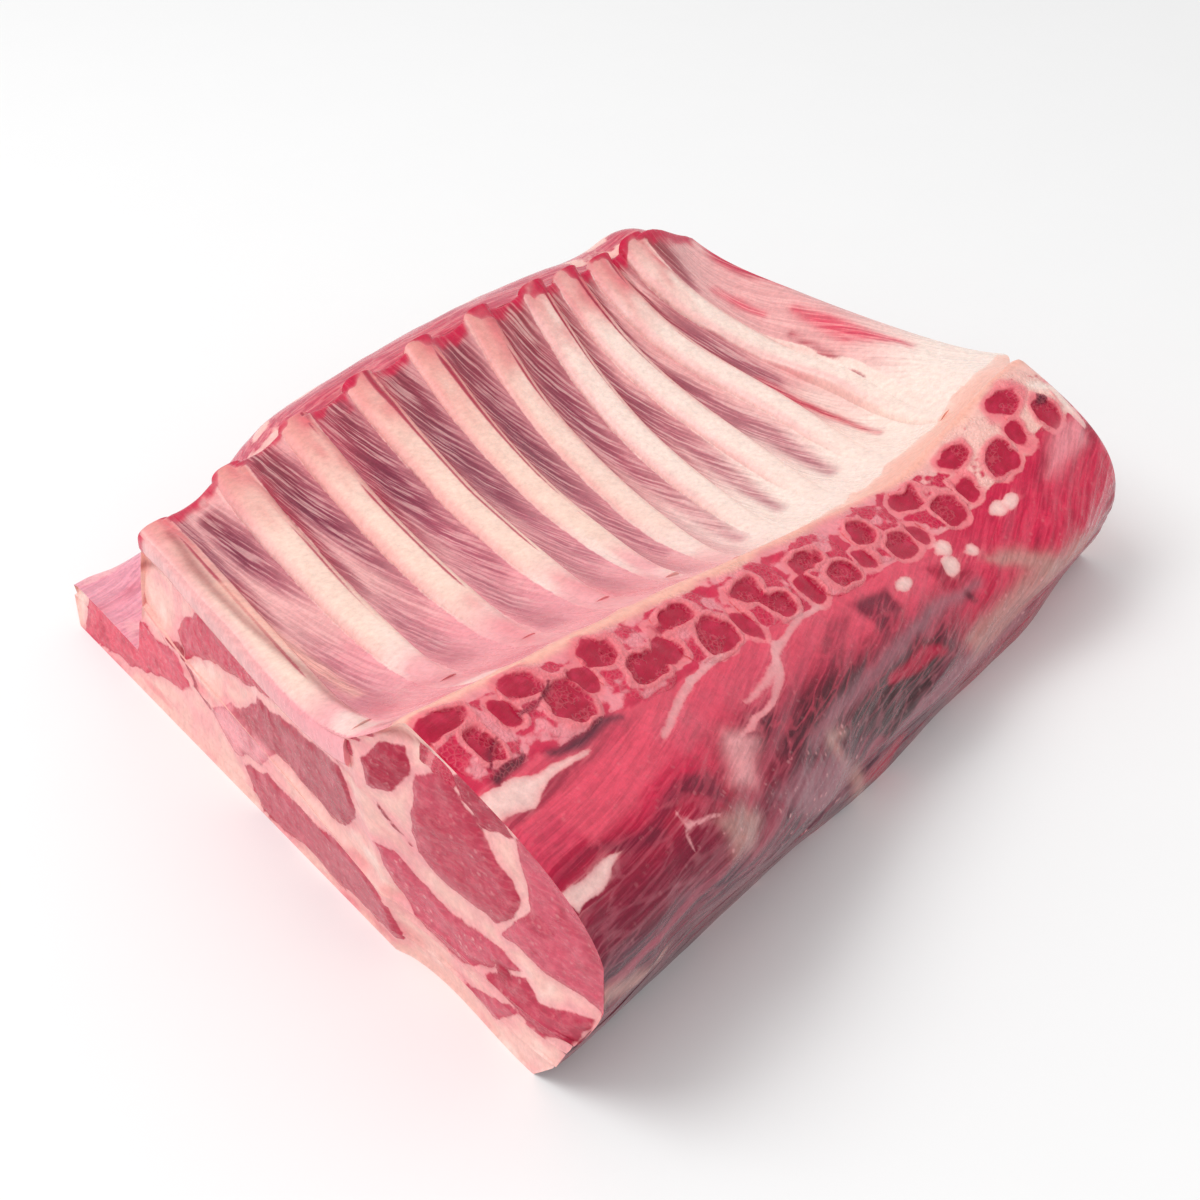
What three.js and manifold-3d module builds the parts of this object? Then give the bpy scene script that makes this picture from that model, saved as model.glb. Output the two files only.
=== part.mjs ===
// Raw rack of lamb: one side of a rib section, sawn down the middle of the spine and lying
// on its fat, with the inside of the ribs facing up. Millimetres, +Z up.
//
// The spine runs along +X, from the neck end to the loin end. The ribs run along +Y, from the
// spine to their sawn tips. Every piece is shaped by the same few surfaces:
//   top      the dished inside of the chest, where the ribs lie
//   medial   the sawn side, from the chine edge down to the fat
//   layers   the levels that part fat cap, outer muscle, fat seam and loin
// The stations of a loft follow the ribs: station q is rib q + 1, whole or in between.

import * as THREE from 'three';
import { mergeVertices } from 'three/addons/utils/BufferGeometryUtils.js';
import Module from 'manifold-3d';

// Driving dimensions -------------------------------------------------------------------------

const RIB_COUNT = 10;
const RIB_PITCH = 26; // along the spine
const RIB_SLANT = 45; // how far rib 1 leans to +X between spine and tip
const RIB_SLANT_LOSS = 1.74; // each next rib leans that much less
const RIB_ROOT_X = -3; // where rib 1 leaves the spine
const RIB_ROOT_Y = 20;
const RIB_TIP_Y = 138; // the saw cut through the rib tips
const SPINE_Y = 14; // nearer the saw plane than this, a station runs straight across
const FAN = { from: 6, loss: 0.35, start: 55 }; // the last ribs draw together towards their tips

const NEAR_END = -0.17; // station of the neck end's cut, in rib pitches
const FAR_END = 9.65; // station of the loin end's cut, along the spine
const FAR_CUT = { x: 265, from: 4, to: 20 }; // past the spine that cut runs straight across

const GAP = 0.3; // round a bone
const LAYER_GAP = 0.5; // between two layers
const LAYER_EDGE = RIB_TIP_Y - 1; // where loin and seam end against the outer muscle
const RIM_INSET = 4; // how far the outer rim is rounded

// Along the length, 0 is the neck end and 1 the loin end.
const CHINE = { near: 80, fall: 46, rise: 22, riseFrom: 0.7, nearY: -3, farY: 4 };
const DISH = { near: 47, fall: 18, fallFrom: 0.3, fallTo: 0.6, rise: 13, riseFrom: 0.9 };
const TIPS = { high: 60.7, drop: 15.5, middle: 0.52, half: 0.5, curl: 3.4 };
const TIP_KNOB = { height: 6, at: 0.865, width: 0.06 }; // the last ribs stand up a little
const WALL_REACH = { near: 34, far: 13, farFrom: 0.75 }; // how far the chine's slope runs out
const HOLLOW = { depth: 2.2, ends: 0.3, from: 8, full: 40 }; // between two ribs
const FOOT = { near: -41, far: -32, knob: -2, knobAt: 0.5, knobWidth: 0.1, tuck: 6, tuckFrom: 0.8 };
const BULGE = { near: 36, far: 22, farFrom: 0.7, rise: 1.36 }; // of the medial side
const SWELL = { depth: 1.5, along: 20, up: 6 }; // the bellies of muscle on it
const LEAN = { top: 55, out: 10, from: -45, to: 10, back: 0.155 }; // of the neck end

const LIFT = { height: 13, from: 0.03, to: 0.6, less: 0.4, start: 100, end: 165 };
const FAT = { thick: 7.5, thin: 3, thinFrom: -10, thinTo: 50, rim: 2.5, rimFrom: 110, rimTo: 150 };
const MUSCLE = { thin: 6, more: 7, from: -20, to: 60 };
const SEAM = { thin: 3.5, more: 1.5, from: -10, to: 70 };
const SHELF = { near: 10, below: 4, from: 0.02, to: 0.24, lip: 2, round: 0.75 };
const SHELF_REACH = { near: 40, far: 25, farFrom: 0.25 };
const FAT_INSET = { near: 6, far: 3, farFrom: 0.1, lip: 1 }; // the fat's foot and its lip

const RIB = { width: 11.5, depth: 8, proud: 1.4, start: 16, steps: 10, sides: 8 };
const RIB_ROOT = { narrow: 0.86, from: 20, to: 70, thick: 1.1, thinTip: 0.95, thinAt: 120 };
const VERTEBRA = { length: 23, depth: 12, proud: 0.8, sides: 12, upper: 1, lower: 22 };
const VERTEBRA_SHIFT = 3; // from the root of its rib
const VERTEBRA_WAIST = { front: 0.9, full: 1.2, deep: 0.6, deepSize: 0.95, back: 0.6 };
const SQUARENESS = 0.7; // of a bone's rounded outline

const COLOURS = {
  bone: 0xe9c9ad,
  marrow: 0xb5404f,
  loin: 0xc2485a,
  seam: 0xf0c9b8,
  muscle: 0xb8404f,
  fat: 0xf1d3c4,
};

// Small helpers ------------------------------------------------------------------------------

const mix = (a, b, t) => a + (b - a) * t;

/** 0 below the start, 1 beyond the end, and a smooth step between them. */
const ease = (value, start, end) => THREE.MathUtils.smoothstep(value, start, end);

/** The numbers from 0 to 1 in the given count of equal steps. */
const steps = (count) => Array.from({ length: count + 1 }, (_, i) => i / count);

/** Share of the rack's length at station q. */
const share = (q) => (q - NEAR_END) / (FAR_END - NEAR_END);

/** How far along its slant a rib has come at y: 0 at its root and 1 at its tip. */
const slanted = (y) => (Math.max(y, SPINE_Y) - RIB_ROOT_Y) / (RIB_TIP_Y - RIB_ROOT_Y);

/** Where the loin end's cut passes y, as a station. */
function farStation(y) {
  const along = slanted(y);
  const start = RIB_ROOT_X + RIB_SLANT * along;
  const straight = (FAR_CUT.x - start) / (RIB_PITCH - RIB_SLANT_LOSS * along);
  return mix(FAR_END, straight, ease(y, FAR_CUT.from, FAR_CUT.to));
}

/** Station q as it lies at y: the last ribs fan, and what is beyond them makes up for it. */
function fanned(q, y) {
  const last = RIB_COUNT - 1;
  const rib = Math.min(q, last);
  const drawn = rib - FAN.loss * Math.max(rib - FAN.from, 0) * ease(y, FAN.start, RIB_TIP_Y);
  return mix(drawn, farStation(y), Math.max(q - last, 0) / (FAR_END - last));
}

/** Share of the rack's length where station q passes y. */
const shareAt = (q, y) => share(fanned(q, y));

// The shared surfaces ------------------------------------------------------------------------

/** Height of the chine edge: it falls from the neck end and rises again at the loin end. */
const chineHeight = (s) => CHINE.near - CHINE.fall * s + CHINE.rise * ease(s, CHINE.riseFrom, 1);

/** How far the chine edge stands in from the saw plane. */
const chineY = (s) => mix(CHINE.nearY, CHINE.farY, s);

/** Height of the floor of the dish. */
const dishHeight = (s) => DISH.near - DISH.fall * ease(s, DISH.fallFrom, DISH.fallTo)
  + DISH.rise * ease(s, DISH.riseFrom, 1);

/** A round knob of the given height, by its distance from the middle in widths. */
const knob = (height, distance) => height * Math.exp(-(distance ** 2));

/** Height of the rib tips. */
const tipHeight = (s) => TIPS.high - TIPS.drop * ((s - TIPS.middle) / TIPS.half) ** 2
  + knob(TIP_KNOB.height, (s - TIP_KNOB.at) / TIP_KNOB.width);

/** Height of the inside of the chest, without its hollows. */
function topHeight(s, y) {
  const reach = mix(WALL_REACH.near, WALL_REACH.far, ease(s, 0, WALL_REACH.farFrom));
  const t = THREE.MathUtils.clamp((y - chineY(s)) / (RIB_TIP_Y - chineY(s)), 0, 1);
  const wall = (chineHeight(s) - dishHeight(s)) * Math.exp(-(y - chineY(s)) / reach);
  const rise = (tipHeight(s) - dishHeight(s)) * t ** TIPS.curl;
  return dishHeight(s) + wall + rise;
}

/** The muscle between two ribs sinks a little, except along the chine. */
function hollow(q, y) {
  const between = 0.5 - 0.5 * Math.cos(2 * Math.PI * q);
  const inside = q > 0 && q < RIB_COUNT - 1 ? 1 : HOLLOW.ends;
  return HOLLOW.depth * between * inside * ease(y, HOLLOW.from, HOLLOW.full);
}

/** Y of the medial side at a height: it bulges out over its foot. */
function medialY(s, z) {
  const h = THREE.MathUtils.clamp(z / chineHeight(s), 0, 1);
  const foot = mix(FOOT.near, FOOT.far, s) + knob(FOOT.knob, (s - FOOT.knobAt) / FOOT.knobWidth)
    + FOOT.tuck * ease(s, FOOT.tuckFrom, 1);
  const bulge = mix(BULGE.near, BULGE.far, ease(s, 0, BULGE.farFrom));
  const belly = Math.sin(SWELL.along * s + SWELL.up * h) * Math.sin(Math.PI * h);
  return mix(foot, chineY(s), h) - bulge * Math.sin(Math.PI * h ** BULGE.rise)
    - SWELL.depth * belly;
}

/** X of station q at a point of its section. The neck end leans a little. */
function stationX(q, y, z) {
  const along = slanted(y);
  const place = fanned(q, y);
  const x = RIB_ROOT_X + RIB_PITCH * place + (RIB_SLANT - RIB_SLANT_LOSS * place) * along;
  const low = 1 - THREE.MathUtils.clamp(z / LEAN.top, 0, 1);
  const out = LEAN.out * ease(y, LEAN.from, LEAN.to);
  const back = LEAN.back * Math.max(y - LEAN.to, 0);
  return x + (out - back) * (1 - share(place)) * low;
}

/** Level of the bottom: flat, and lifted off the board towards the rib tips. */
function floorHeight(s, y) {
  const lift = ease(s, LIFT.from, LIFT.to) * (1 - LIFT.less * ease(s, LIFT.to, 1));
  return LIFT.height * lift * ease(y, LIFT.start, LIFT.end);
}

/** Upper level of the fat cap. */
const fatTop = (s, y) => floorHeight(s, y) + FAT.thick - FAT.thin * ease(y, FAT.thinFrom, FAT.thinTo)
  + FAT.rim * ease(y, FAT.rimFrom, FAT.rimTo);

/** Upper level of the outer muscle. */
const muscleTop = (s, y) => fatTop(s, y) + MUSCLE.thin + MUSCLE.more * ease(y, MUSCLE.from, MUSCLE.to);

/** Upper level of the fat seam. */
const seamTop = (s, y) => muscleTop(s, y) + SEAM.thin + SEAM.more * ease(y, SEAM.from, SEAM.to);

/** Height of the shelf of outer muscle beyond the rib tips, and how far it reaches out. */
const shelfHeight = (s) => mix(SHELF.near, tipHeight(s) - SHELF.below, ease(s, SHELF.from, SHELF.to));
const shelfReach = (s) => mix(SHELF_REACH.near, SHELF_REACH.far, ease(s, 0, SHELF_REACH.farFrom));

// Making solids ------------------------------------------------------------------------------

/** Closes a loft: rings of equal length, quads between them and a flat cap at each end. */
function loft(rings, flatten) {
  const count = rings[0].length;
  const positions = rings.flat().flatMap((p) => [p.x, p.y, p.z]);
  const index = [];
  for (let r = 0; r < rings.length - 1; r += 1) {
    for (let i = 0; i < count; i += 1) {
      const a = r * count + i;
      const b = r * count + ((i + 1) % count);
      index.push(a, b, a + count, b, b + count, a + count);
    }
  }
  const cap = (ring, offset, turn) => {
    const faces = THREE.ShapeUtils.triangulateShape(ring.map(flatten), []);
    for (const face of faces) {
      face.sort((a, b) => (turn ? b - a : a - b)); // in the ring's own direction, or against it
      index.push(...face.map((corner) => corner + offset));
    }
  };
  const last = rings.length - 1;
  cap(rings[0], 0, true);
  cap(rings[last], last * count, false);
  const geometry = new THREE.BufferGeometry();
  geometry.setAttribute('position', new THREE.Float32BufferAttribute(positions, 3));
  geometry.setIndex(index);
  return facingOut(geometry);
}

/** Turns every face over if the solid is inside out. */
function facingOut(geometry) {
  const position = geometry.attributes.position;
  const index = geometry.index.array;
  const corners = [new THREE.Vector3(), new THREE.Vector3(), new THREE.Vector3()];
  let volume = 0;
  for (let i = 0; i < index.length; i += 3) {
    corners.forEach((corner, c) => corner.fromBufferAttribute(position, index[i + c]));
    volume += corners[0].dot(corners[1].clone().cross(corners[2]));
  }
  if (volume < 0) {
    for (let i = 0; i < index.length; i += 3) {
      [index[i], index[i + 1]] = [index[i + 1], index[i]];
    }
  }
  return geometry;
}

const wasm = await Module();
wasm.setup();

/** A closed geometry as a solid that can be cut. */
function toSolid(geometry) {
  const bare = geometry.clone();
  bare.deleteAttribute('normal');
  bare.deleteAttribute('uv');
  const merged = mergeVertices(bare);
  return new wasm.Manifold(new wasm.Mesh({
    numProp: 3,
    vertProperties: new Float32Array(merged.attributes.position.array),
    triVerts: new Uint32Array(merged.index.array),
  }));
}

function toGeometry(solid) {
  const mesh = solid.getMesh();
  const geometry = new THREE.BufferGeometry();
  geometry.setAttribute('position', new THREE.BufferAttribute(mesh.vertProperties, 3));
  geometry.setIndex(new THREE.BufferAttribute(mesh.triVerts, 1));
  return geometry;
}

function named(name, geometry, color, roughness) {
  geometry.computeVertexNormals();
  const material = new THREE.MeshStandardMaterial({ color, roughness, metalness: 0 });
  const mesh = new THREE.Mesh(geometry, material);
  mesh.name = name;
  return mesh;
}

// Layers that run the whole length -----------------------------------------------------------

const STATIONS_PER_PITCH = { fine: 4, coarse: 2 };
const LEVEL_STEPS = 8; // points of a level, alike on both of its sides
const TOP_STEPS = 12;
const TOP_CROWDING = 1.35; // the top's points stand closer towards the chine edge
const MEDIAL_STEPS = 7;
const SHELF_STEPS = 5;
const SIDE_PLACES = [0.35, 0.7]; // up the loin's side under the rib tips

/** The cut ends and, between them, stations that fall on the ribs and evenly between them. */
function stations(perPitch) {
  const last = RIB_COUNT - 1;
  const inner = steps(last * perPitch).map((t) => t * last);
  const beyond = steps(perPitch).slice(1).map((t) => mix(last, FAR_END, t));
  return [NEAR_END, ...inner, ...beyond];
}

/** A layer's solid from the (y, z) outline of its section at each station. */
function layer(perPitch, outline) {
  const rings = stations(perPitch).map((q) => outline(q)
    .map(([y, z]) => new THREE.Vector3(stationX(q, y, z), y, z)));
  return loft(rings, (p) => new THREE.Vector2(p.y, p.z));
}

/** Points just over or under a level, from the medial side to a far edge. */
function levelPoints(q, level, edge, offset) {
  const s = share(q);
  const start = medialY(s, level(s, medialY(s, FAT.thick)));
  return steps(LEVEL_STEPS).map((t) => {
    const y = mix(start, edge, t);
    return [y, level(shareAt(q, y), y) + offset];
  });
}

/** Loin, intercostal muscle and inner fat: everything above the seam. */
function loinGeometry() {
  return layer(STATIONS_PER_PITCH.fine, (q) => {
    const s = share(q);
    const base = levelPoints(q, seamTop, LAYER_EDGE, LAYER_GAP / 2);
    const tip = topHeight(shareAt(q, RIB_TIP_Y), RIB_TIP_Y) - hollow(q, RIB_TIP_Y);
    const side = SIDE_PLACES.map((t) => [
      LAYER_EDGE + Math.sin(Math.PI * t),
      mix(base[LEVEL_STEPS][1], tip, t),
    ]);
    const top = steps(TOP_STEPS).map((t) => {
      const y = mix(RIB_TIP_Y, chineY(s), 1 - (1 - t) ** TOP_CROWDING);
      return [y, topHeight(shareAt(q, y), y) - hollow(q, y)];
    });
    const foot = base[0][1];
    const medial = steps(MEDIAL_STEPS).slice(1, -1).map((t) => {
      const z = mix(foot, chineHeight(s), Math.cos(0.5 * Math.PI * t));
      return [medialY(s, z), z];
    });
    return [...base, ...side, ...top, ...medial];
  });
}

/** The pale seam of fat between the loin and the outer muscle. */
function seamGeometry() {
  return layer(STATIONS_PER_PITCH.coarse, (q) => [
    ...levelPoints(q, muscleTop, LAYER_EDGE, LAYER_GAP / 2),
    ...levelPoints(q, seamTop, LAYER_EDGE, -LAYER_GAP / 2).reverse(),
  ]);
}

/** The outer muscle wraps round the rib tips and ends in the shelf beyond them. */
function outerMuscleGeometry() {
  return layer(STATIONS_PER_PITCH.coarse, (q) => {
    const wall = RIB_TIP_Y + GAP;
    const s = shareAt(q, wall);
    const rim = wall + shelfReach(s);
    const low = fatTop(s, rim) + LAYER_GAP / 2;
    const base = levelPoints(q, fatTop, rim - RIM_INSET, LAYER_GAP / 2);
    const shelf = steps(SHELF_STEPS).map((t) => {
      const angle = 0.5 * Math.PI * (1 - t);
      return [
        mix(wall, rim, Math.sin(angle) ** SHELF.round),
        mix(low + SHELF.lip, shelfHeight(s), Math.cos(angle) ** SHELF.round),
      ];
    });
    const corner = [wall, muscleTop(s, wall)];
    const under = levelPoints(q, muscleTop, LAYER_EDGE, -LAYER_GAP / 2).reverse();
    return [...base, ...shelf, corner, ...under];
  });
}

/** The fat cap carries everything: a flat foot, a rounded rim and a lifted outer edge. */
function fatCapGeometry() {
  return layer(STATIONS_PER_PITCH.coarse, (q) => {
    const s = shareAt(q, RIB_TIP_Y);
    const rim = RIB_TIP_Y + GAP + shelfReach(s);
    const inset = mix(FAT_INSET.near, FAT_INSET.far, ease(s, 0, FAT_INSET.farFrom));
    const start = medialY(share(q), 0) + inset;
    const foot = steps(LEVEL_STEPS).map((t) => {
      const y = mix(start, rim - inset, t);
      return [y, floorHeight(shareAt(q, y), y)];
    });
    const lip = [rim - FAT_INSET.lip, fatTop(s, rim - FAT_INSET.lip) - GAP];
    const roof = levelPoints(q, fatTop, rim - RIM_INSET, -LAYER_GAP / 2).reverse();
    return [...foot, lip, ...roof];
  });
}

// Bones --------------------------------------------------------------------------------------

const TIP_INSET = 0.1; // a rib ends that far inside the loin's side
const WALK_STEP = 0.1; // height lost in each step down the medial side

/** A superellipse, as offsets along two axes. */
function roundedOutline(sides, halfWidth, halfHeight) {
  return steps(sides).slice(0, -1).map((t) => {
    const angle = 2 * Math.PI * (t + 0.5 / sides);
    const cos = Math.cos(angle);
    const sin = Math.sin(angle);
    return [
      halfWidth * Math.sign(cos) * Math.abs(cos) ** SQUARENESS,
      halfHeight * Math.sign(sin) * Math.abs(sin) ** SQUARENESS,
    ];
  });
}

/** Rib k, flat and slightly thicker at its root; grow makes the channel that it lies in. */
function ribGeometry(k, grow) {
  const places = steps(RIB.steps).map((t) => mix(RIB.start, RIB_TIP_Y - TIP_INSET, t));
  if (grow > 0) {
    places[0] -= grow;
    places.push(RIB_TIP_Y + RIB.proud * 3);
  }
  const rings = places.map((y) => {
    const s = shareAt(k, y);
    const z = topHeight(s, y);
    const x = stationX(k, y, z);
    const steep = Math.hypot(1, (topHeight(s, y + 1) - topHeight(s, y - 1)) / 2);
    const wide = mix(RIB_ROOT.narrow, 1, ease(y, RIB_ROOT.from, RIB_ROOT.to));
    const thick = mix(RIB_ROOT.thick, RIB_ROOT.thinTip, ease(y, RIB_ROOT.from, RIB_ROOT.thinAt));
    const half = RIB.width / 2 * wide + grow;
    const depth = (RIB.depth / 2 * thick + grow) * steep;
    const middle = z + (RIB.proud + grow) * steep - depth;
    return roundedOutline(RIB.sides, half, depth)
      .map(([a, b]) => new THREE.Vector3(x + a, y, middle + b));
  });
  return loft(rings, (p) => new THREE.Vector2(p.x, p.z));
}

/** The (y, z) point of the medial side that far down its slope from the chine edge. */
function belowChine(s, distance) {
  const point = new THREE.Vector2(chineY(s), chineHeight(s));
  let walked = 0;
  while (walked < distance) {
    const z = point.y - WALK_STEP;
    const next = new THREE.Vector2(medialY(s, z), z);
    walked += next.distanceTo(point);
    point.copy(next);
  }
  return point;
}

/** Half a vertebra: a rounded block let into the medial side under the chine edge. */
function vertebraGeometry(k, grow) {
  const upper = belowChine(share(k), VERTEBRA.upper);
  const lower = belowChine(share(k), VERTEBRA.lower);
  const slope = lower.clone().sub(upper);
  const halfHeight = slope.length() / 2;
  slope.normalize();
  const inward = new THREE.Vector2(-slope.y, slope.x);
  const middle = upper.clone().add(lower).multiplyScalar(0.5);
  const centre = stationX(k, SPINE_Y, middle.y) + VERTEBRA_SHIFT;
  const end = centre + VERTEBRA.length / 2;
  const start = Math.max(end - VERTEBRA.length, stationX(NEAR_END, middle.x, middle.y));
  const x = (start + end) / 2;
  const levels = [
    [-VERTEBRA.proud - grow, VERTEBRA_WAIST.front],
    [VERTEBRA_WAIST.full, 1],
    [VERTEBRA.depth * VERTEBRA_WAIST.deep, VERTEBRA_WAIST.deepSize],
    [VERTEBRA.depth + grow, VERTEBRA_WAIST.back],
  ];
  const rings = levels.map(([depth, size]) => {
    const halfLength = (end - start) / 2 * size + grow;
    const half = halfHeight * size + grow;
    return roundedOutline(VERTEBRA.sides, halfLength, half).map(([a, b]) => {
      const p = middle.clone().addScaledVector(slope, b).addScaledVector(inward, depth);
      return new THREE.Vector3(x + a, p.x, p.y);
    });
  });
  return loft(rings, (p) => new THREE.Vector2(p.x, p.y));
}

// Putting it together ------------------------------------------------------------------------

const group = new THREE.Group();
const number = (k) => String(k + 1).padStart(2, '0');

let loin = toSolid(loinGeometry());
for (let k = 0; k < RIB_COUNT; k += 1) {
  group.add(named(`rib_${number(k)}`, ribGeometry(k, 0), COLOURS.bone, 0.45));
  group.add(named(`vertebra_${number(k)}`, vertebraGeometry(k, 0), COLOURS.marrow, 0.5));
  loin = loin.subtract(toSolid(ribGeometry(k, GAP)));
  loin = loin.subtract(toSolid(vertebraGeometry(k, GAP)));
}
group.add(named('loin', toGeometry(loin), COLOURS.loin, 0.45));

group.add(named('fat_seam', seamGeometry(), COLOURS.seam, 0.5));
group.add(named('outer_muscle', outerMuscleGeometry(), COLOURS.muscle, 0.45));
group.add(named('fat_cap', fatCapGeometry(), COLOURS.fat, 0.5));

// The origin is the middle of the box's underside.
const box = new THREE.Box3().setFromObject(group, true);
const centre = box.getCenter(new THREE.Vector3());
group.position.set(-centre.x, -centre.y, -box.min.z);

export default group;
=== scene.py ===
"""Raw rack of lamb, lying on its outer fat with the inside of the ribs facing up.

Every surface is worked out from one shape model of the rack (class Rack), in millimetres in
the maker's frame, and every point of it is painted as lean or fat (class Anatomy). The shells
are put together from grids (class Shell), which carry that painting to the materials.
"""

import logging
import math
from dataclasses import dataclass, field
from enum import Enum

import bpy
import numpy as np
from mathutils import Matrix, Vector


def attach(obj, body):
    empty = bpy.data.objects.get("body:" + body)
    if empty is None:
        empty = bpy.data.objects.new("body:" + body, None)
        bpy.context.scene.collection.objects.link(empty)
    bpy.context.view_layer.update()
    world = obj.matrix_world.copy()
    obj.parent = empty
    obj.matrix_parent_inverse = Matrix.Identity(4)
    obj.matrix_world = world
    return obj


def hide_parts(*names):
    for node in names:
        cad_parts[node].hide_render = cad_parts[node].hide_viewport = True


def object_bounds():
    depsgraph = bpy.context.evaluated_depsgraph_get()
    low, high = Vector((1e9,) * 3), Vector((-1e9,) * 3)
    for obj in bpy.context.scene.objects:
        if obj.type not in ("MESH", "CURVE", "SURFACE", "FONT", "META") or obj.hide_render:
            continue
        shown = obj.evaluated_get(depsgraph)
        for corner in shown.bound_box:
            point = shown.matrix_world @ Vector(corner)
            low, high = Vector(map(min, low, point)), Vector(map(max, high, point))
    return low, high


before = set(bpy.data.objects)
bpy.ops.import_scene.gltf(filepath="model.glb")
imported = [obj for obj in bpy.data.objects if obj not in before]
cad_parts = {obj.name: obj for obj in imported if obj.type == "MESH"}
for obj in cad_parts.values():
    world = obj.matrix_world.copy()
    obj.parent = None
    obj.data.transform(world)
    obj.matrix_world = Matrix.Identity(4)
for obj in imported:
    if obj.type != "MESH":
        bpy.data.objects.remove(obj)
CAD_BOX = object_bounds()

Array = np.ndarray
DEEP = 8.0  # millimetres from any border of lean and fat
Socket = bpy.types.NodeSocket
MM = 0.001
PER_MM = 1000.0  # scale of a texture whose pattern is a millimetre wide
ORIGIN = (127.641, 61.577, 0.0)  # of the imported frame, in the maker's millimetres
LOG = logging.getLogger("rack")


# Colour ---------------------------------------------------------------------------------------


def linear(hex_colour: str) -> Array:
    """Turns an sRGB hex value to linear red, green and blue.

    Args:
        hex_colour: such as "#ecd9c6".

    Returns:
        Three linear values from 0 to 1.
    """
    srgb = np.array([int(hex_colour[i : i + 2], 16) for i in (1, 3, 5)]) / 255
    return np.where(srgb <= 0.04045, srgb / 12.92, ((srgb + 0.055) / 1.055) ** 2.4)


class Hue(Enum):
    """The colours of raw lamb, as sRGB."""

    RIB = "#f8d3c3"  # rib under its thin lining
    RIB_WHITE = "#fbe2d7"
    SALMON = "#dd6f70"  # blood-tinged bone
    BONE_SAWN = "#ee7b84"
    BONE_BLUSH = "#f08e98"
    MARROW = "#b00d36"
    MARROW_LIGHT = "#d62c54"
    PLUM = "#862a45"  # muscle between the ribs, seen through the lining
    MAUVE = "#b8546a"
    BRICK = "#a9474c"
    BLUSH = "#eba9a8"
    PINK = "#f29aa2"
    PEARL = "#f7cbc4"
    CREAM = "#fde4d9"  # inner fat
    FAT = "#f8c0b6"
    PEACH = "#f8b5a3"
    BEIGE = "#c08d85"
    DUSK = "#a0646f"
    TENDON = "#eda6a8"
    CORAL = "#e24c64"
    SCARLET = "#cb1845"
    CRIMSON = "#ab0635"
    WINE = "#7e082e"
    GARNET = "#5c0e27"
    VIOLET = "#521b30"
    NIGHT = "#43161f"
    EYE = "#be3650"
    ROSE = "#cf4f66"
    BROWN = "#9c3a40"
    MEMBRANE = "#efa4b6"

    @property
    def rgb(self) -> Array:
        """Linear red, green and blue."""
        return linear(self.value)


# Small formulas -------------------------------------------------------------------------------


def mix(start: Array | float, end: Array | float, share: Array | float) -> Array | float:
    """The value that far from start to end."""
    return start + (end - start) * share


def ease(value: Array | float, start: float, end: float) -> Array:
    """0 before start, 1 after end, and a smooth step between; start may be the larger one."""
    t = np.clip((np.asarray(value, float) - start) / (end - start), 0.0, 1.0)
    return t * t * (3.0 - 2.0 * t)


def soft_step(value: Array, blur: float) -> Array:
    """0 well below zero, 1 well above it, and a soft step as wide as blur between."""
    return 1.0 / (1.0 + np.exp(np.clip(-value / blur, -30, 30)))


def squared(wave: Array, power: float) -> Array:
    """A wave with its sign kept and its size raised to a power, which squares off a circle."""
    return np.sign(wave) * np.abs(wave) ** power


def knob(distance: Array | float) -> Array:
    """A round knob: 1 in the middle, falling off over a distance of 1."""
    return np.exp(-np.square(distance))


def lattice_noise(points: Array, size: float, seed: int) -> Array:
    """Smooth random values: one for each corner of a lattice, blended between the corners.

    Args:
        points: (..., 3) places in millimetres.
        size: spacing of the lattice.
        seed: picks the random values.

    Returns:
        (...) values from -1 to 1.
    """
    place = np.asarray(points, float) / size + 1000.0
    cell = np.floor(place).astype(np.int64)
    part = place - cell
    part = part * part * (3.0 - 2.0 * part)
    total = np.zeros(place.shape[:-1])
    for corner in range(8):
        step = np.array([corner & 1, corner >> 1 & 1, corner >> 2 & 1])
        at = cell + step
        key = at[..., 0] * 374761393 + at[..., 1] * 668265263 + at[..., 2] * 974634777
        key = (key + seed * 1442695041) & 0xFFFFFFFF
        key = ((key ^ (key >> 13)) * 1274126177) & 0xFFFFFFFF
        value = ((key ^ (key >> 16)) & 0xFFFF) / 32767.5 - 1.0
        total += value * np.prod(np.where(step == 1, part, 1.0 - part), axis=-1)
    return total


def rough_noise(points: Array, size: float, seed: int, octaves: int = 3) -> Array:
    """Lattice noise with finer and weaker copies of itself added."""
    total = np.zeros(np.asarray(points).shape[:-1])
    for level in range(octaves):
        total += lattice_noise(points, size / 2**level, seed + level) / 2**level
    return total / (2.0 - 2.0 ** (1 - octaves))


def inside_distance(u: Array, v: Array, corners: list[tuple[float, float]]) -> Array:
    """Distance in to the border of a closed outline: positive inside, negative outside.

    The nearest point of each side is found, and the side's crossings tell in from out.

    Args:
        u: first coordinate of the places.
        v: second coordinate.
        corners: the outline's corners in turn.

    Returns:
        Distances in the outline's own unit.
    """
    start = np.array(corners, float)
    side = np.roll(start, -1, axis=0) - start
    away = np.stack([u, v], axis=-1)[..., None, :] - start
    along = np.clip((away * side).sum(-1) / (side**2).sum(-1), 0.0, 1.0)
    nearest = np.linalg.norm(away - side * along[..., None], axis=-1).min(-1)
    cross = side[:, 0] * away[..., 1] - side[:, 1] * away[..., 0]
    below, above = away[..., 1] >= 0, away[..., 1] < side[:, 1]
    turns = (below & above & (cross > 0)).sum(-1) - (~below & ~above & (cross < 0)).sum(-1)
    return np.where(turns != 0, nearest, -nearest)


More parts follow.
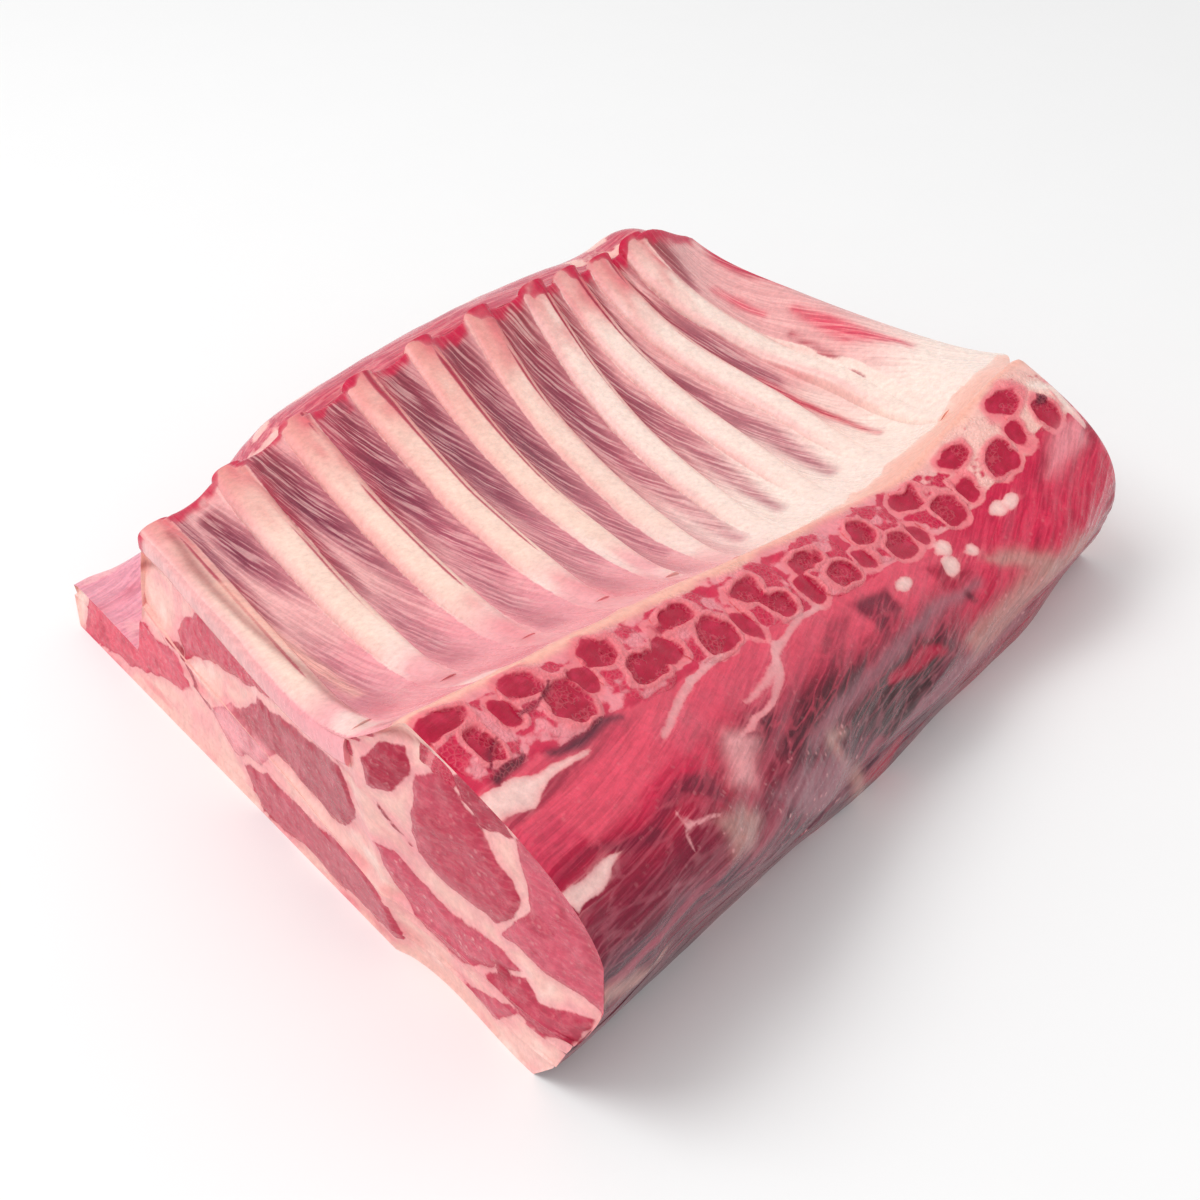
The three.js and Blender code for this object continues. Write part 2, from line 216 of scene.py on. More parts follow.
def strand_distance(u: Array, v: Array, knots: list[tuple[float, float, float]]) -> Array:
    """How far inside a strand of changing width a place lies; negative outside.

    Args:
        u: first coordinate of the places.
        v: second coordinate.
        knots: (u, v, half width) along the strand.

    Returns:
        Half width less the distance to the middle line.
    """
    line = np.array(knots, float)
    start, step = line[:-1], np.diff(line, axis=0)
    away = np.stack([u, v], axis=-1)[..., None, :] - start[:, :2]
    along = np.clip((away * step[:, :2]).sum(-1) / (step[:, :2] ** 2).sum(-1), 0.0, 1.0)
    distance = np.linalg.norm(away - step[:, :2] * along[..., None], axis=-1)
    return (start[:, 2] + step[:, 2] * along - distance).max(-1)


# The shape of the rack ------------------------------------------------------------------------


@dataclass(frozen=True)
class Rack:
    """Sizes of the rack, in millimetres, and the surfaces that shape every piece.

    q counts ribs along the spine from 0, s is the share of the length, y runs from the spine
    to the rib tips, and z is up.
    """

    ribs: int = 10
    pitch: float = 26.0
    slant: float = 45.0
    slant_loss: float = 1.74
    root_x: float = -3.0
    root_y: float = 20.0
    tip_y: float = 138.0
    spine_y: float = 14.0
    near: float = -0.17
    far: float = 9.65
    far_x: float = 265.0
    fan_from: float = 6.0
    fan_loss: float = 0.35
    layer_edge: float = 137.0
    wall_y: float = 138.3
    rib_width: float = 11.5
    rib_depth: float = 8.0
    rib_proud: float = 1.4
    rib_start: float = 16.0
    bone_length: float = 23.0
    bone_depth: float = 12.0
    bone_shift: float = 3.0
    bone_proud: float = 0.8
    bone_lower: float = 22.0

    def share(self, q: Array) -> Array:
        """Share of the rack's length at station q."""
        return (q - self.near) / (self.far - self.near)

    def slanted(self, y: Array) -> Array:
        """How far along its slant a rib has come at y: 0 at its root and 1 at its tip."""
        return (np.maximum(y, self.spine_y) - self.root_y) / (self.tip_y - self.root_y)

    def far_station(self, y: Array) -> Array:
        """Where the loin end's straight cut passes y, as a station."""
        along = self.slanted(y)
        start = self.root_x + self.slant * along
        straight = (self.far_x - start) / (self.pitch - self.slant_loss * along)
        return mix(self.far, straight, ease(y, 4.0, 20.0))

    def fanned(self, q: Array, y: Array) -> Array:
        """Station q as it lies at y: the last ribs draw together towards their tips.

        Args:
            q: station, whole at a rib.
            y: distance from the spine.

        Returns:
            Its place in even rib pitches.
        """
        last = self.ribs - 1
        rib = np.minimum(q, last)
        fan = self.fan_loss * np.maximum(rib - self.fan_from, 0.0) * ease(y, 55.0, self.tip_y)
        beyond = np.maximum(q - last, 0.0) / (self.far - last)
        return mix(rib - fan, self.far_station(y), beyond)

    def share_at(self, q: Array, y: Array) -> Array:
        """Share of the rack's length where station q passes y."""
        return self.share(self.fanned(q, y))

    def off_rib(self, place: Array, y: Array) -> tuple[Array, Array]:
        """Millimetres past the middle of the nearest rib, and that rib's number."""
        k = np.arange(self.ribs, dtype=float)
        away = (place[..., None] - self.fanned(k, np.asarray(y)[..., None])) * self.pitch
        nearest = np.abs(away).argmin(-1)
        return np.take_along_axis(away, nearest[..., None], -1)[..., 0], nearest

    def chine_z(self, s: Array) -> Array:
        """Height of the chine edge: it falls from the neck end and rises at the loin end."""
        return 80.0 - 46.0 * s + 22.0 * ease(s, 0.7, 1.0)

    def chine_y(self, s: Array) -> Array:
        """How far the chine edge stands in from the saw plane."""
        return mix(-3.0, 4.0, s)

    def dish_z(self, s: Array) -> Array:
        """Height of the floor of the dish."""
        return 47.0 - 18.0 * ease(s, 0.3, 0.6) + 13.0 * ease(s, 0.9, 1.0)

    def tip_z(self, s: Array) -> Array:
        """Height of the rib tips: an arch, with a knob at the last ribs."""
        return 60.7 - 15.5 * ((s - 0.52) / 0.5) ** 2 + 6.0 * knob((s - 0.865) / 0.06)

    def top(self, s: Array, y: Array) -> Array:
        """Height of the inside of the chest: the dish, and its slopes to the chine and tips."""
        reach = mix(34.0, 13.0, ease(s, 0.0, 0.75))
        t = np.clip((y - self.chine_y(s)) / (self.tip_y - self.chine_y(s)), 0.0, 1.0)
        wall = (self.chine_z(s) - self.dish_z(s)) * np.exp(-(y - self.chine_y(s)) / reach)
        return self.dish_z(s) + wall + (self.tip_z(s) - self.dish_z(s)) * t**3.4

    def hollow(self, q: Array, y: Array) -> Array:
        """Depth of the muscle below its ribs: a cosine over the pitch, none along the chine."""
        inside = np.where((q > 0) & (q < self.ribs - 1), 1.0, 0.3)
        return 2.2 * (0.5 - 0.5 * np.cos(2 * np.pi * q)) * inside * ease(y, 8.0, 40.0)

    def medial_y(self, s: Array, z: Array) -> Array:
        """Place of the sawn side at a height: it bulges out over its foot."""
        h = np.clip(z / self.chine_z(s), 0.0, 1.0)
        foot = mix(-41.0, -32.0, s) - 2.0 * knob((s - 0.5) / 0.1) + 6.0 * ease(s, 0.8, 1.0)
        bulge = mix(36.0, 22.0, ease(s, 0.0, 0.7))
        belly = 1.5 * np.sin(20.0 * s + 6.0 * h) * np.sin(np.pi * h)
        return mix(foot, self.chine_y(s), h) - bulge * np.sin(np.pi * h**1.36) - belly

    def station_x(self, q: Array, y: Array, z: Array) -> Array:
        """Where station q lies along the spine at a point of its section."""
        along, place = self.slanted(y), self.fanned(q, y)
        x = self.root_x + self.pitch * place + (self.slant - self.slant_loss * place) * along
        low = 1.0 - np.clip(z / 55.0, 0.0, 1.0)
        lean = 10.0 * ease(y, -45.0, 10.0) - 0.155 * np.maximum(y - 10.0, 0.0)
        return x + lean * (1.0 - self.share(place)) * low

    def station_at(self, x: Array, y: Array, z: Array) -> Array:
        """The station that passes a point near the spine, where x grows evenly with q."""
        first = self.station_x(np.zeros_like(x), y, z)
        return (x - first) / (self.station_x(np.ones_like(x), y, z) - first)

    def floor_z(self, s: Array, y: Array) -> Array:
        """Level of the bottom: flat, and lifted off the board towards the rib tips."""
        lift = ease(s, 0.03, 0.6) * (1.0 - 0.4 * ease(s, 0.6, 1.0))
        return 13.0 * lift * ease(y, 100.0, 165.0)

    def fat_top(self, s: Array, y: Array) -> Array:
        """Upper level of the fat cap."""
        rim = 2.5 * ease(y, 110.0, 150.0)
        return self.floor_z(s, y) + 7.5 - 3.0 * ease(y, -10.0, 50.0) + rim

    def muscle_top(self, s: Array, y: Array) -> Array:
        """Upper level of the outer muscle."""
        return self.fat_top(s, y) + 6.0 + 7.0 * ease(y, -20.0, 60.0)

    def seam_top(self, s: Array, y: Array) -> Array:
        """Upper level of the fat seam."""
        return self.muscle_top(s, y) + 3.5 + 1.5 * ease(y, -10.0, 70.0)

    def shelf_z(self, s: Array) -> Array:
        """Height of the outer muscle beyond the rib tips."""
        return mix(10.0, self.tip_z(s) - 4.0, ease(s, 0.02, 0.24))

    def shelf_reach(self, s: Array) -> Array:
        """How far that shelf reaches out."""
        return mix(40.0, 25.0, ease(s, 0.0, 0.25))

    def foot_y(self, s: Array, level: str) -> Array:
        """Where a level meets the sawn side."""
        return self.medial_y(s, getattr(self, level)(s, self.medial_y(s, 7.5)))

    def slope_length(self, s: Array, z: Array) -> Array:
        """Distance down the sawn side from the chine edge, by the midpoint rule.

        Args:
            s: share of the length.
            z: height of the place.

        Returns:
            Millimetres along the surface.
        """
        s, z = np.asarray(s, float)[..., None], np.asarray(z, float)[..., None]
        cuts = np.linspace(0.0, 1.0, 49)
        heights = mix(z, self.chine_z(s), cuts)
        rise, run = np.diff(heights, axis=-1), np.diff(self.medial_y(s, heights), axis=-1)
        return np.hypot(rise, run).sum(-1)

    def below_chine(self, s: Array, distance: Array) -> tuple[Array, Array]:
        """The place that far down the sawn side, walked in equal steps along its slope.

        Args:
            s: share of the length.
            distance: millimetres from the chine edge.

        Returns:
            Its y and its z.
        """
        z = self.chine_z(s) - 0.01
        for _ in range(40):
            slope = (self.medial_y(s, z) - self.medial_y(s, z - 0.5)) / 0.5
            z = z - distance / 40 / np.hypot(1.0, slope)
        return self.medial_y(s, z), z


# Painting -------------------------------------------------------------------------------------


@dataclass(frozen=True)
class Channel:
    """How one kind of painted value is kept on a mesh and read by a material."""

    width: int
    kind: str
    field_name: str
    output: str


NUMBER = Channel(1, "FLOAT", "value", "Fac")
COLOUR = Channel(3, "FLOAT_COLOR", "color", "Color")
VECTOR = Channel(3, "FLOAT_VECTOR", "vector", "Vector")
LOOK_CHANNELS = {
    "lean": NUMBER, "meat": COLOUR, "pale": COLOUR, "grain": VECTOR,
    "streak": NUMBER, "web": NUMBER, "crumb_glint": NUMBER, "wet": NUMBER,
}


class Paint:
    """What a surface is made of at each of its places.

    lean is the distance in millimetres into lean meat, negative in fat or bone. meat and pale
    are the tints on the two sides of that border. grain holds millimetres along and across the
    fibres. streak is the strength of the fibres, web that of the pale lines between bundles,
    the crumb channel that of pale crumbs and of painted glints drawn as the same pale dots, and
    wet that of the gloss.
    """

    def __init__(self, like: Array, pale: Hue, meat: Hue = Hue.CRIMSON) -> None:
        """Starts as plain fat.

        Args:
            like: any array of the surface's shape.
            pale: tint of the fat.
            meat: tint of what lean comes later.
        """
        self.lean = np.full(like.shape, -DEEP)
        self.meat = np.broadcast_to(meat.rgb, like.shape + (3,)).copy()
        self.pale = np.broadcast_to(pale.rgb, like.shape + (3,)).copy()
        self.grain = np.zeros(like.shape + (3,))
        self.streak = np.zeros(like.shape)
        self.web = np.zeros(like.shape)
        self.crumb_glint = np.zeros(like.shape)
        self.wet = np.full(like.shape, 0.5)

    def muscle(self, inside: Array, tint: Hue, blur: float = 1.2) -> None:
        """Lays lean meat where inside is positive, its tint blurred over some millimetres."""
        self.tint_meat(soft_step(inside, blur), tint)
        self.lean = np.maximum(self.lean, inside)

    def fat(self, inside: Array, tint: Hue, blur: float = 1.2) -> None:
        """Lays fat or bone where inside is positive."""
        self.tint_pale(soft_step(inside, blur), tint)
        self.lean = np.minimum(self.lean, -inside)

    def smear(self, inside: Array, tint: Hue, amount: float = 0.8, blur: float = 1.2) -> None:
        """Colours lean and fat alike where inside is positive, with a soft border."""
        cover = amount * soft_step(inside, blur)
        self.tint_meat(cover, tint)
        self.tint_pale(cover, tint)

    def tint_meat(self, amount: Array, tint: Hue) -> None:
        """Tints the lean side alone."""
        self.meat = mix(self.meat, tint.rgb, np.clip(amount, 0, 1)[..., None])

    def tint_pale(self, amount: Array, tint: Hue) -> None:
        """Tints the fat side alone."""
        self.pale = mix(self.pale, tint.rgb, np.clip(amount, 0, 1)[..., None])

    def stacked(self) -> Array:
        """All the channels side by side."""
        parts = [getattr(self, name) for name in LOOK_CHANNELS]
        return np.concatenate([p if p.ndim > self.lean.ndim else p[..., None] for p in parts], -1)


# Sketches -------------------------------------------------------------------------------------
#
# Rounded places drawn in millimetres. A strand is a row of (first coordinate, second
# coordinate, half width); an outline is a row of corners.

# Bands of muscle between the ribs on the chest: (u, y, half width) along each, and its depth of
# colour.
RIB_BANDS = (
    ([(14, 126, 2.5), (17, 104, 5), (20, 88, 4), (25, 70, 1.5)], 0.95),
    ([(37, 136, 4), (41, 115, 6), (44, 95, 5), (46, 75, 3), (46, 55, 1)], 1.0),
    ([(66, 137, 4.5), (67, 112, 6.5), (68, 90, 6), (69, 70, 4.5), (70, 50, 2)], 1.0),
    ([(90, 137, 5), (92, 110, 6.5), (94, 85, 5.5), (96, 60, 4), (97, 40, 2)], 0.95),
    ([(116, 137, 5), (118, 110, 6.5), (119, 85, 5.5), (121, 60, 4.5), (122, 38, 2)], 0.9),
    ([(145, 138, 4.5), (145, 109, 5.5), (146, 87, 5), (150, 63, 4), (148, 30, 1)], 0.9),
    ([(163, 137, 4), (163, 101, 4), (168, 89, 4), (172, 72, 3.5), (170, 34, 1)], 0.8),
    ([(180, 138, 3), (178, 122, 3.5), (182, 98, 4), (187, 88, 4.5), (196, 60, 3.5),
     (196, 34, 1)], 0.8),
    ([(200, 138, 3), (206, 129, 3.5), (208, 108, 3.5), (213, 86, 3), (217, 76, 2)], 0.8),
    ([(213, 138, 3), (217, 128, 3), (218, 117, 1)], 0.9),
)

# Strips of bare meat on the chest towards the loin end.
CHEST_MEAT = (
    ([(243, 134, 2.5), (241, 124, 3), (245, 112, 2.5), (252, 97, 1.5)], Hue.SCARLET),
    ([(227, 114, 1.2), (231, 106, 2), (234, 97, 1)], Hue.CORAL),
    ([(243, 89, 1.2), (245, 76, 3), (246, 67, 3.5), (254, 46, 1)], Hue.CORAL),
    ([(235, 84, 0.7), (236, 71, 1), (237, 52, 0.6)], Hue.CRIMSON),
    ([(213, 79, 0.8), (216, 62, 2.4), (220, 49, 1.8), (223, 35, 0.8)], Hue.SCARLET),
)

# The dried brown line along the chest beside the first rib.
EDGE_BROWN = ((0, 130, 1), (-1, 110, 1.5), (0, 80, 1.2), (3, 52, 1), (4, 26, 0.7), (-4, 0, 0.5))

# The yellowed fat beside that line.
EDGE_PEACH = ((2, 98, 1), (4, 72, 1.5), (7, 52, 1.4), (9, 33, 0.8))

# Flushes of blood near the feet of the ribs.
CHEST_FLUSH = (
    ([(53, 44, 1.0), (53, 26, 1.8), (51, 12, 0.8)], Hue.CORAL),
    ([(20, 22, 1.0), (34, 6, 2.6), (50, 4, 1.0)], Hue.ROSE),
    ([(78, 34, 1.0), (84, 14, 2.6), (96, 6, 1.0)], Hue.CORAL),
    ([(8, 20, 1.0), (14, -2, 2.4), (26, -8, 1.0)], Hue.CORAL),
    ([(104, 36, 1.0), (110, 20, 2.0), (122, 12, 0.8)], Hue.PINK),
)

# Outlines of muscle on the sawn side, as (u, distance down from the chine edge), and their tints.
SIDE_MUSCLES = (
    ([(19, 28), (40, 27), (42, 36), (26, 40), (9, 44), (8, 34)], Hue.CORAL),
    ([(28, 44), (39, 46), (46, 50), (47, 41), (36, 41)], Hue.WINE),
    ([(8, 45), (27, 45), (27, 49), (14, 49)], Hue.WINE),
    ([(160, 26), (171, 27), (176, 33), (163, 36)], Hue.CRIMSON),
    ([(129, 25), (144, 26), (142, 33), (129, 36)], Hue.WINE),
    ([(100, 53), (104, 48), (122, 43), (142, 42), (151, 47), (134, 58), (123, 65)], Hue.NIGHT),
    ([(107, 76), (118, 72), (136, 71), (128, 84)], Hue.CRIMSON),
    ([(204, 45), (208, 37), (219, 38), (236, 33), (252, 40), (238, 46), (217, 49)],
     Hue.SCARLET),
)

# The crimson bundle that crosses them: (u, distance from the chine, half width).
SIDE_BUNDLE = ((126, 46, 2), (140, 46, 2.5), (149, 48, 1))

# Tendons and thin fat on the sawn side.
SIDE_TENDONS = (
    ([(-5, 26, 3.4), (4, 27, 3.8), (13, 26, 1.6), (26, 24.5, 0.8)], Hue.PEARL),
    ([(66, 23, 1.3), (76, 22, 1.3), (80, 21, 0.7)], Hue.TENDON),
    ([(44, 31, 1.0), (54, 27, 1.4), (67, 23, 1.3)], Hue.TENDON),
    ([(62, 41, 0.5), (75, 38, 1.1), (97, 26, 1.3)], Hue.TENDON),
    ([(74, 34, 0.6), (97, 27, 1.2), (118, 21, 1.2)], Hue.TENDON),
    ([(31, 45, 0.5), (32, 50, 0.8), (41, 52, 0.6)], Hue.TENDON),
    ([(32, 50, 0.8), (30, 57, 0.4)], Hue.TENDON),
    ([(241, 9, 1.2), (249, 14, 2.2), (247, 26, 2.0)], Hue.CREAM),
)

# Dull films of fat and membrane over the muscle of the sawn side.
SIDE_FILMS = (
    ([(83, 48, 1.2), (102, 45, 2.0), (124, 41, 1.9), (143, 39, 1.6), (175, 36, 1.2)], Hue.DUSK),
    ([(98, 51, 1.0), (91, 50, 2.0), (93, 58, 2.2), (104, 67, 2.4), (117, 83, 2.0)], Hue.BEIGE),
    ([(123, 66, 2.0), (137, 60, 3.0), (160, 55, 3.2), (198, 61, 2.0)], Hue.DUSK),
    ([(184, 33, 0.8), (189, 36, 2.0), (205, 49, 2.5)], Hue.BEIGE),
    ([(-5, 73, 2.0), (7, 76, 2.6), (22, 83, 3.0)], Hue.BEIGE),
)

# A white piece of fat at the neck end of the side.
SIDE_WHITE = ((-5, 46), (6, 47), (14, 48), (9, 51), (-4, 52))

# Scraps of fat, tendon and membrane on the sawn side.
SIDE_SCRAPS = (
    ([(38, 53), (50, 52), (54, 57), (49, 63), (40, 61)], Hue.BEIGE),
    ([(61, 37), (68, 42), (58, 49), (50, 47)], Hue.TENDON),
    ([(74, 51), (90, 53), (101, 61), (105, 78), (88, 71), (72, 62), (63, 54)], Hue.DUSK),
    ([(160, 47), (181, 44), (192, 43), (206, 46), (236, 53), (223, 56), (190, 58), (166, 54)],
     Hue.BEIGE),
    ([(222, 31), (232, 25), (248, 23), (244, 31)], Hue.PINK),
)

# Beads of fat under the far vertebrae: (u, distance down).
SIDE_BEADS = ((151, 28), (174, 24), (172, 29), (181, 29), (200, 27), (205, 28))

# A dark bruise under the first vertebrae.
SIDE_BRUISE = ((17, 22, 0.9), (25, 22, 1.5), (32, 22, 1.4), (40, 23, 0.6))

# Slits in the bone and the muscle of the side.
SIDE_SLITS = (
    [(19, 12, 0.5), (31, 7, 0.3)],
    [(1, 19, 0.5), (9, 14, 0.3)],
    [(0, 22, 1.4), (7, 21, 1.2), (12, 20, 0.8)],
    [(170, 38, 1.3), (171, 40, 1.2)],
    [(240, 13, 1.4), (242, 14, 1.0)],
)

# Muscles of the neck cut, as tints and outlines of (y, z).
NECK_MUSCLES = (
    (Hue.EYE, [(82, 9), (69, 16), (52, 16), (35, 19), (23, 19), (14, 15), (10, 4), (21, 4),
     (37, 2), (50, 4), (72, 0)]),
    (Hue.PINK, [(99, 15), (89, 23), (69, 29), (59, 26), (72, 17), (85, 10)]),
    (Hue.CRIMSON, [(86, 22), (70, 36), (56, 40), (39, 45), (25, 50), (19, 40), (23, 32),
     (36, 25), (54, 25)]),
    (Hue.ROSE, [(14, 35), (8, 37), (1, 32), (-8, 28), (-25, 29), (-31, 26), (-11, 14), (1, 14),
     (6, 21), (12, 28)]),
    (Hue.EYE, [(-20, 18), (-32, 25), (-36, 21), (-52, 27), (-51, 23), (-47, 17), (-38, 13)]),
    (Hue.ROSE, [(-10, 7), (-23, 13), (-33, 16), (-22, 5)]),
    (Hue.ROSE, [(-25, 34), (-35, 46), (-33, 55), (-31, 63), (-38, 70), (-72, 76), (-76, 26),
     (-60, 27), (-52, 31), (-38, 31)]),
    (Hue.EYE, [(-5, 66), (-13, 70), (-18, 64), (-23, 60), (-32, 47), (-30, 41), (-23, 36),
     (-11, 37), (-1, 41), (-2, 54)]),
    (Hue.CRIMSON, [(-15, 69), (-19, 73), (-30, 70), (-31, 62), (-22, 61)]),
    (Hue.CRIMSON, [(12, 62), (6, 69), (-3, 71), (-4, 65), (3, 57), (10, 56)]),
    (Hue.SCARLET, [(118, 28), (104, 41), (86, 46), (70, 51), (50, 56), (48, 51), (62, 43),
     (76, 36), (96, 31), (112, 23)]),
    (Hue.ROSE, [(115, 27), (99, 30), (103, 27)]),
    (Hue.CORAL, [(170, -2), (170, 14), (117, 21), (108, 14), (128, 7), (147, 3)]),
)

# One muscle of the neck cut carries more pale crumbs, partly drawn as painted glints.
CRUMB_GLINT_MUSCLE = 3  # place of the one among them that is strewn with pale crumbs

# Spots of blood on the neck cut: (y, z, radius).
NECK_SPOTS = ((16, 62, 1.8), (13, 67, 1.6), (8, 71, 1.3), (-26, 22, 2.2))

# Thin brown seams between the muscles of the neck cut.
NECK_SEAMS = (
    [(44, 53, 0.6), (36, 50, 0.9), (24, 52, 0.5)],
    [(8, 50, 0.8), (1, 42, 0.5)],
    [(125, 22, 0.5), (115, 24, 0.9), (105, 17, 0.8), (99, 15, 0.5)],
)

# The brown line that runs below the chest on the neck cut.
NECK_RIM = ((80, 49, 0.8), (59, 53, 1.4), (34, 58, 1.2), (4, 73, 0.8), (-10, 75, 0.5))

# Relief of the sawn side: (height, u, half length, distance down, half width) of each lump.
SIDE_RELIEF = (
    (2.2, 40, 8, 54, 8), (-3.4, 126, 22, 51, 8), (1.8, 88, 14, 61, 9), (1.5, 208, 34, 45, 7),
)


# What is where --------------------------------------------------------------------------------


@dataclass(frozen=True)
class Anatomy:
    """Where lean, fat, tendon and bone lie on each face of the rack."""

    rack: Rack = field(default_factory=Rack)

    # The chest side

    def chest(self, place: Array, y: Array) -> Paint:
        """Inside of the chest: pale ribs, plum muscle between them and fat towards the chine.

        Args:
            place: place along the rack in even rib pitches.
            y: distance from the spine.

        Returns:
            The painting.
        """
        rack = self.rack
        u = place * rack.pitch
        flat = np.stack([u, y, np.zeros_like(u)], -1)
        long = flat * np.array([1.0, 0.25, 1.0])
        wander = 0.8 * lattice_noise(long, 11.0, 3) + 0.4 * lattice_noise(long, 4.0, 4)
        cloud = lattice_noise(flat, 16.0, 5)
        w, k = rack.off_rib(place, y)
        w = w + 0.6 * wander
        far = ease(u, 112, 160)
        half = rack.rib_width / 2 * mix(0.84, 1.0, ease(y, 20, 70)) * np.where(k == 0, 0.8, 1.0)
        last = place > rack.fanned(np.array(rack.ribs - 1.0), y)

        paint = Paint(u, Hue.PEARL, Hue.BLUSH)
        paint.tint_pale(far, Hue.CREAM)
        paint.tint_meat(ease(y + 8 * cloud, 62, 22) * (1 - far), Hue.PINK)
        paint.tint_meat(ease(y + 12 * cloud, 88, 38) * far, Hue.CREAM)
        between = np.abs(w) - half
        wide = rack.pitch - 2 * half
        across_gap = np.where(w > 0, between / wide, 1.0 - between / wide)
        paint.muscle(between, Hue.BLUSH, 0.01)
        paint.meat = mix(paint.meat, mix(Hue.PINK.rgb, Hue.CREAM.rgb, far[..., None]),
                         (ease(y + 10 * cloud, 80, 34))[..., None])
        shade = np.zeros_like(u)
        for knots, depth in RIB_BANDS:
            inside = strand_distance(u + 0.8 * wander, y, knots)
            shade = np.maximum(shade, depth * ease(inside, -4.0, 1.6))
        beside = ease(y, 45, 85) * ease(-np.abs(w - half - 1.5), -4.0, -1.0) * (k < rack.ribs - 1)
        shade = np.maximum(shade, 0.75 * beside) * (1 - 0.4 * ease(across_gap, 0.6, 1.0))
        fans = ease(between, -1, 3) * ease(y + 5 * cloud, 12, 24) * ease(-y, -80, -50)
        shade = np.maximum(shade, fans * (1 - far) * (0.75 - 0.6 * ease(across_gap, 0.35, 0.85)))
        paint.tint_meat(shade, Hue.MAUVE)
        deep = ease(y + 12 * cloud, 62, 100) * ease(y, 146, 128)
        paint.tint_meat(shade**2 * deep * mix(1.0, 0.75, far), Hue.PLUM)
        tipward = ease(y + 4 * cloud, 104, 132)
        paint.tint_meat(shade * tipward * mix(0.35, 0.85, far), Hue.BRICK)
        red = knob((u - 56) / 8) * knob((y - 122) / 22)
        paint.tint_meat(red * 0.6, Hue.ROSE)
        paint.streak = ease(between, -0.5, 1.5) * mix(0.35, 1.0, shade) * ease(y, 20, 45)

        on_rib = ease(-between, -0.5, 1.2)
        rib = on_rib * ease(y, 12 + 14 * (1 - far), 52)
        paint.tint_pale(ease(y + 8 * cloud, 60, 20) * (1 - far) * 0.8, Hue.PINK)
        paint.tint_pale(rib * (1 - 0.6 * far), Hue.RIB)
        paint.tint_pale(rib * 0.6 * far, Hue.RIB_WHITE)
        mottle = lattice_noise(flat * np.array([1.4, 0.6, 1.0]), 4.5, 8)
        blood = ease(y + 9 * mottle, mix(88, 108, far), 140)
        paint.tint_pale(rib * blood * 0.7, Hue.SALMON)
        paint.tint_pale(rib * ease(y + 12 * mottle, 120, 142) * ease(w, -3, 4) * 0.7, Hue.CORAL)
        shoulder = knob((w + half - 0.6) / 1.8) * ease(y, 36, 90) * ease(k, 1, 2) * (1 - far)
        paint.tint_pale(shoulder * 0.5, Hue.PEACH)
        # Painted shade: salmon along the far edge and pink along the near edge of each rounded
        # rib.
        paint.tint_pale(knob((w - half + 1.2) / 1.8) * ease(y, 40, 100) * 0.45, Hue.SALMON)
        paint.tint_pale(knob((w + half - 0.8) / 1.5) * ease(y, 30, 60) * 0.4, Hue.PINK)

        deepest = ease(lattice_noise(long, 7.0, 12), -0.6, 0.1)
        beside_rib = knob((w - half - 0.8) / 2.4) * deepest * ease(y, 50, 100)
        beside_rib = beside_rib * (k < rack.ribs - 1)
        paint.tint_meat(beside_rib * (1 - 0.5 * far) * 0.8, Hue.CRIMSON)
        line = (0.5 + 0.7 * ease(y, 90, 134)) * deepest - np.abs(w - half + 2.5)
        line = np.where(last, -4.0, line - 2.0 * ease(-y, -55, -30) - 0.5 * far)
        paint.muscle(line, Hue.CRIMSON, 0.25)
        torn = y - 134.2 + 2.8 * lattice_noise(flat, 5.0, 13) + 1.6 * lattice_noise(flat, 2.2, 15)
        paint.muscle(np.where(between < 0.5, torn - 2.0, torn), Hue.SCARLET, 0.6)
        paint.streak = paint.streak * (1.0 - 0.85 * ease(torn, -1.0, 2.0))

        for knots, tint in CHEST_MEAT:
            inside = strand_distance(u + wander, y, knots)
            paint.muscle(inside, tint, 0.6)
            paint.streak = np.maximum(paint.streak, 0.6 * ease(inside, -0.5, 0.5))
        paint.smear(strand_distance(u + 1.5 * wander, y, EDGE_BROWN), Hue.BROWN, 0.75, 0.5)
        paint.smear(strand_distance(u + wander, y, EDGE_PEACH), Hue.PEACH, 0.8, 0.7)
        for knots, tint in CHEST_FLUSH:
            paint.smear(strand_distance(u + wander, y + 2 * wander, knots), tint, 0.5, 1.6)
        # Painted highlight: pale cream streaks of sheen on the wet lining by the chine, in the
        # near half.
        painted_sheen = lattice_noise(flat * np.array([1.0, 0.5, 1.0]), 9.0, 16)
        paint.tint_pale(ease(painted_sheen, 0.2, 0.6) * ease(-y, -66, -36) * (1 - far) * 0.6, Hue.CREAM)

        down = y - rack.chine_y(rack.share(place)) + 1.5 * lattice_noise(flat, 6.0, 14)
        ridge = ease(-down, -mix(5.0, 22.0, far), -1.0)
        paint.fat(np.where(ridge > 0.3, 4 * (ridge - 0.3), -DEEP), Hue.PEACH, 0.8)
        paint.tint_pale(ease(-down, -3.5, -0.5) * 0.75, Hue.PEACH)

        drift = 0.2 + 0.0028 * np.clip(u, 0.0, 80.0)
        paint.grain = np.stack([-y, 0.95 * (u + drift * y), 0 * u], -1)
        paint.web = 0.15 * ease(between, 0.5, 2.5) * ease(-y, -90, -30)
        paint.wet = mix(0.45, 0.75, ease(-y, -80, -15)) * mix(1.0, 0.8, far)
        return paint

    # The sawn side

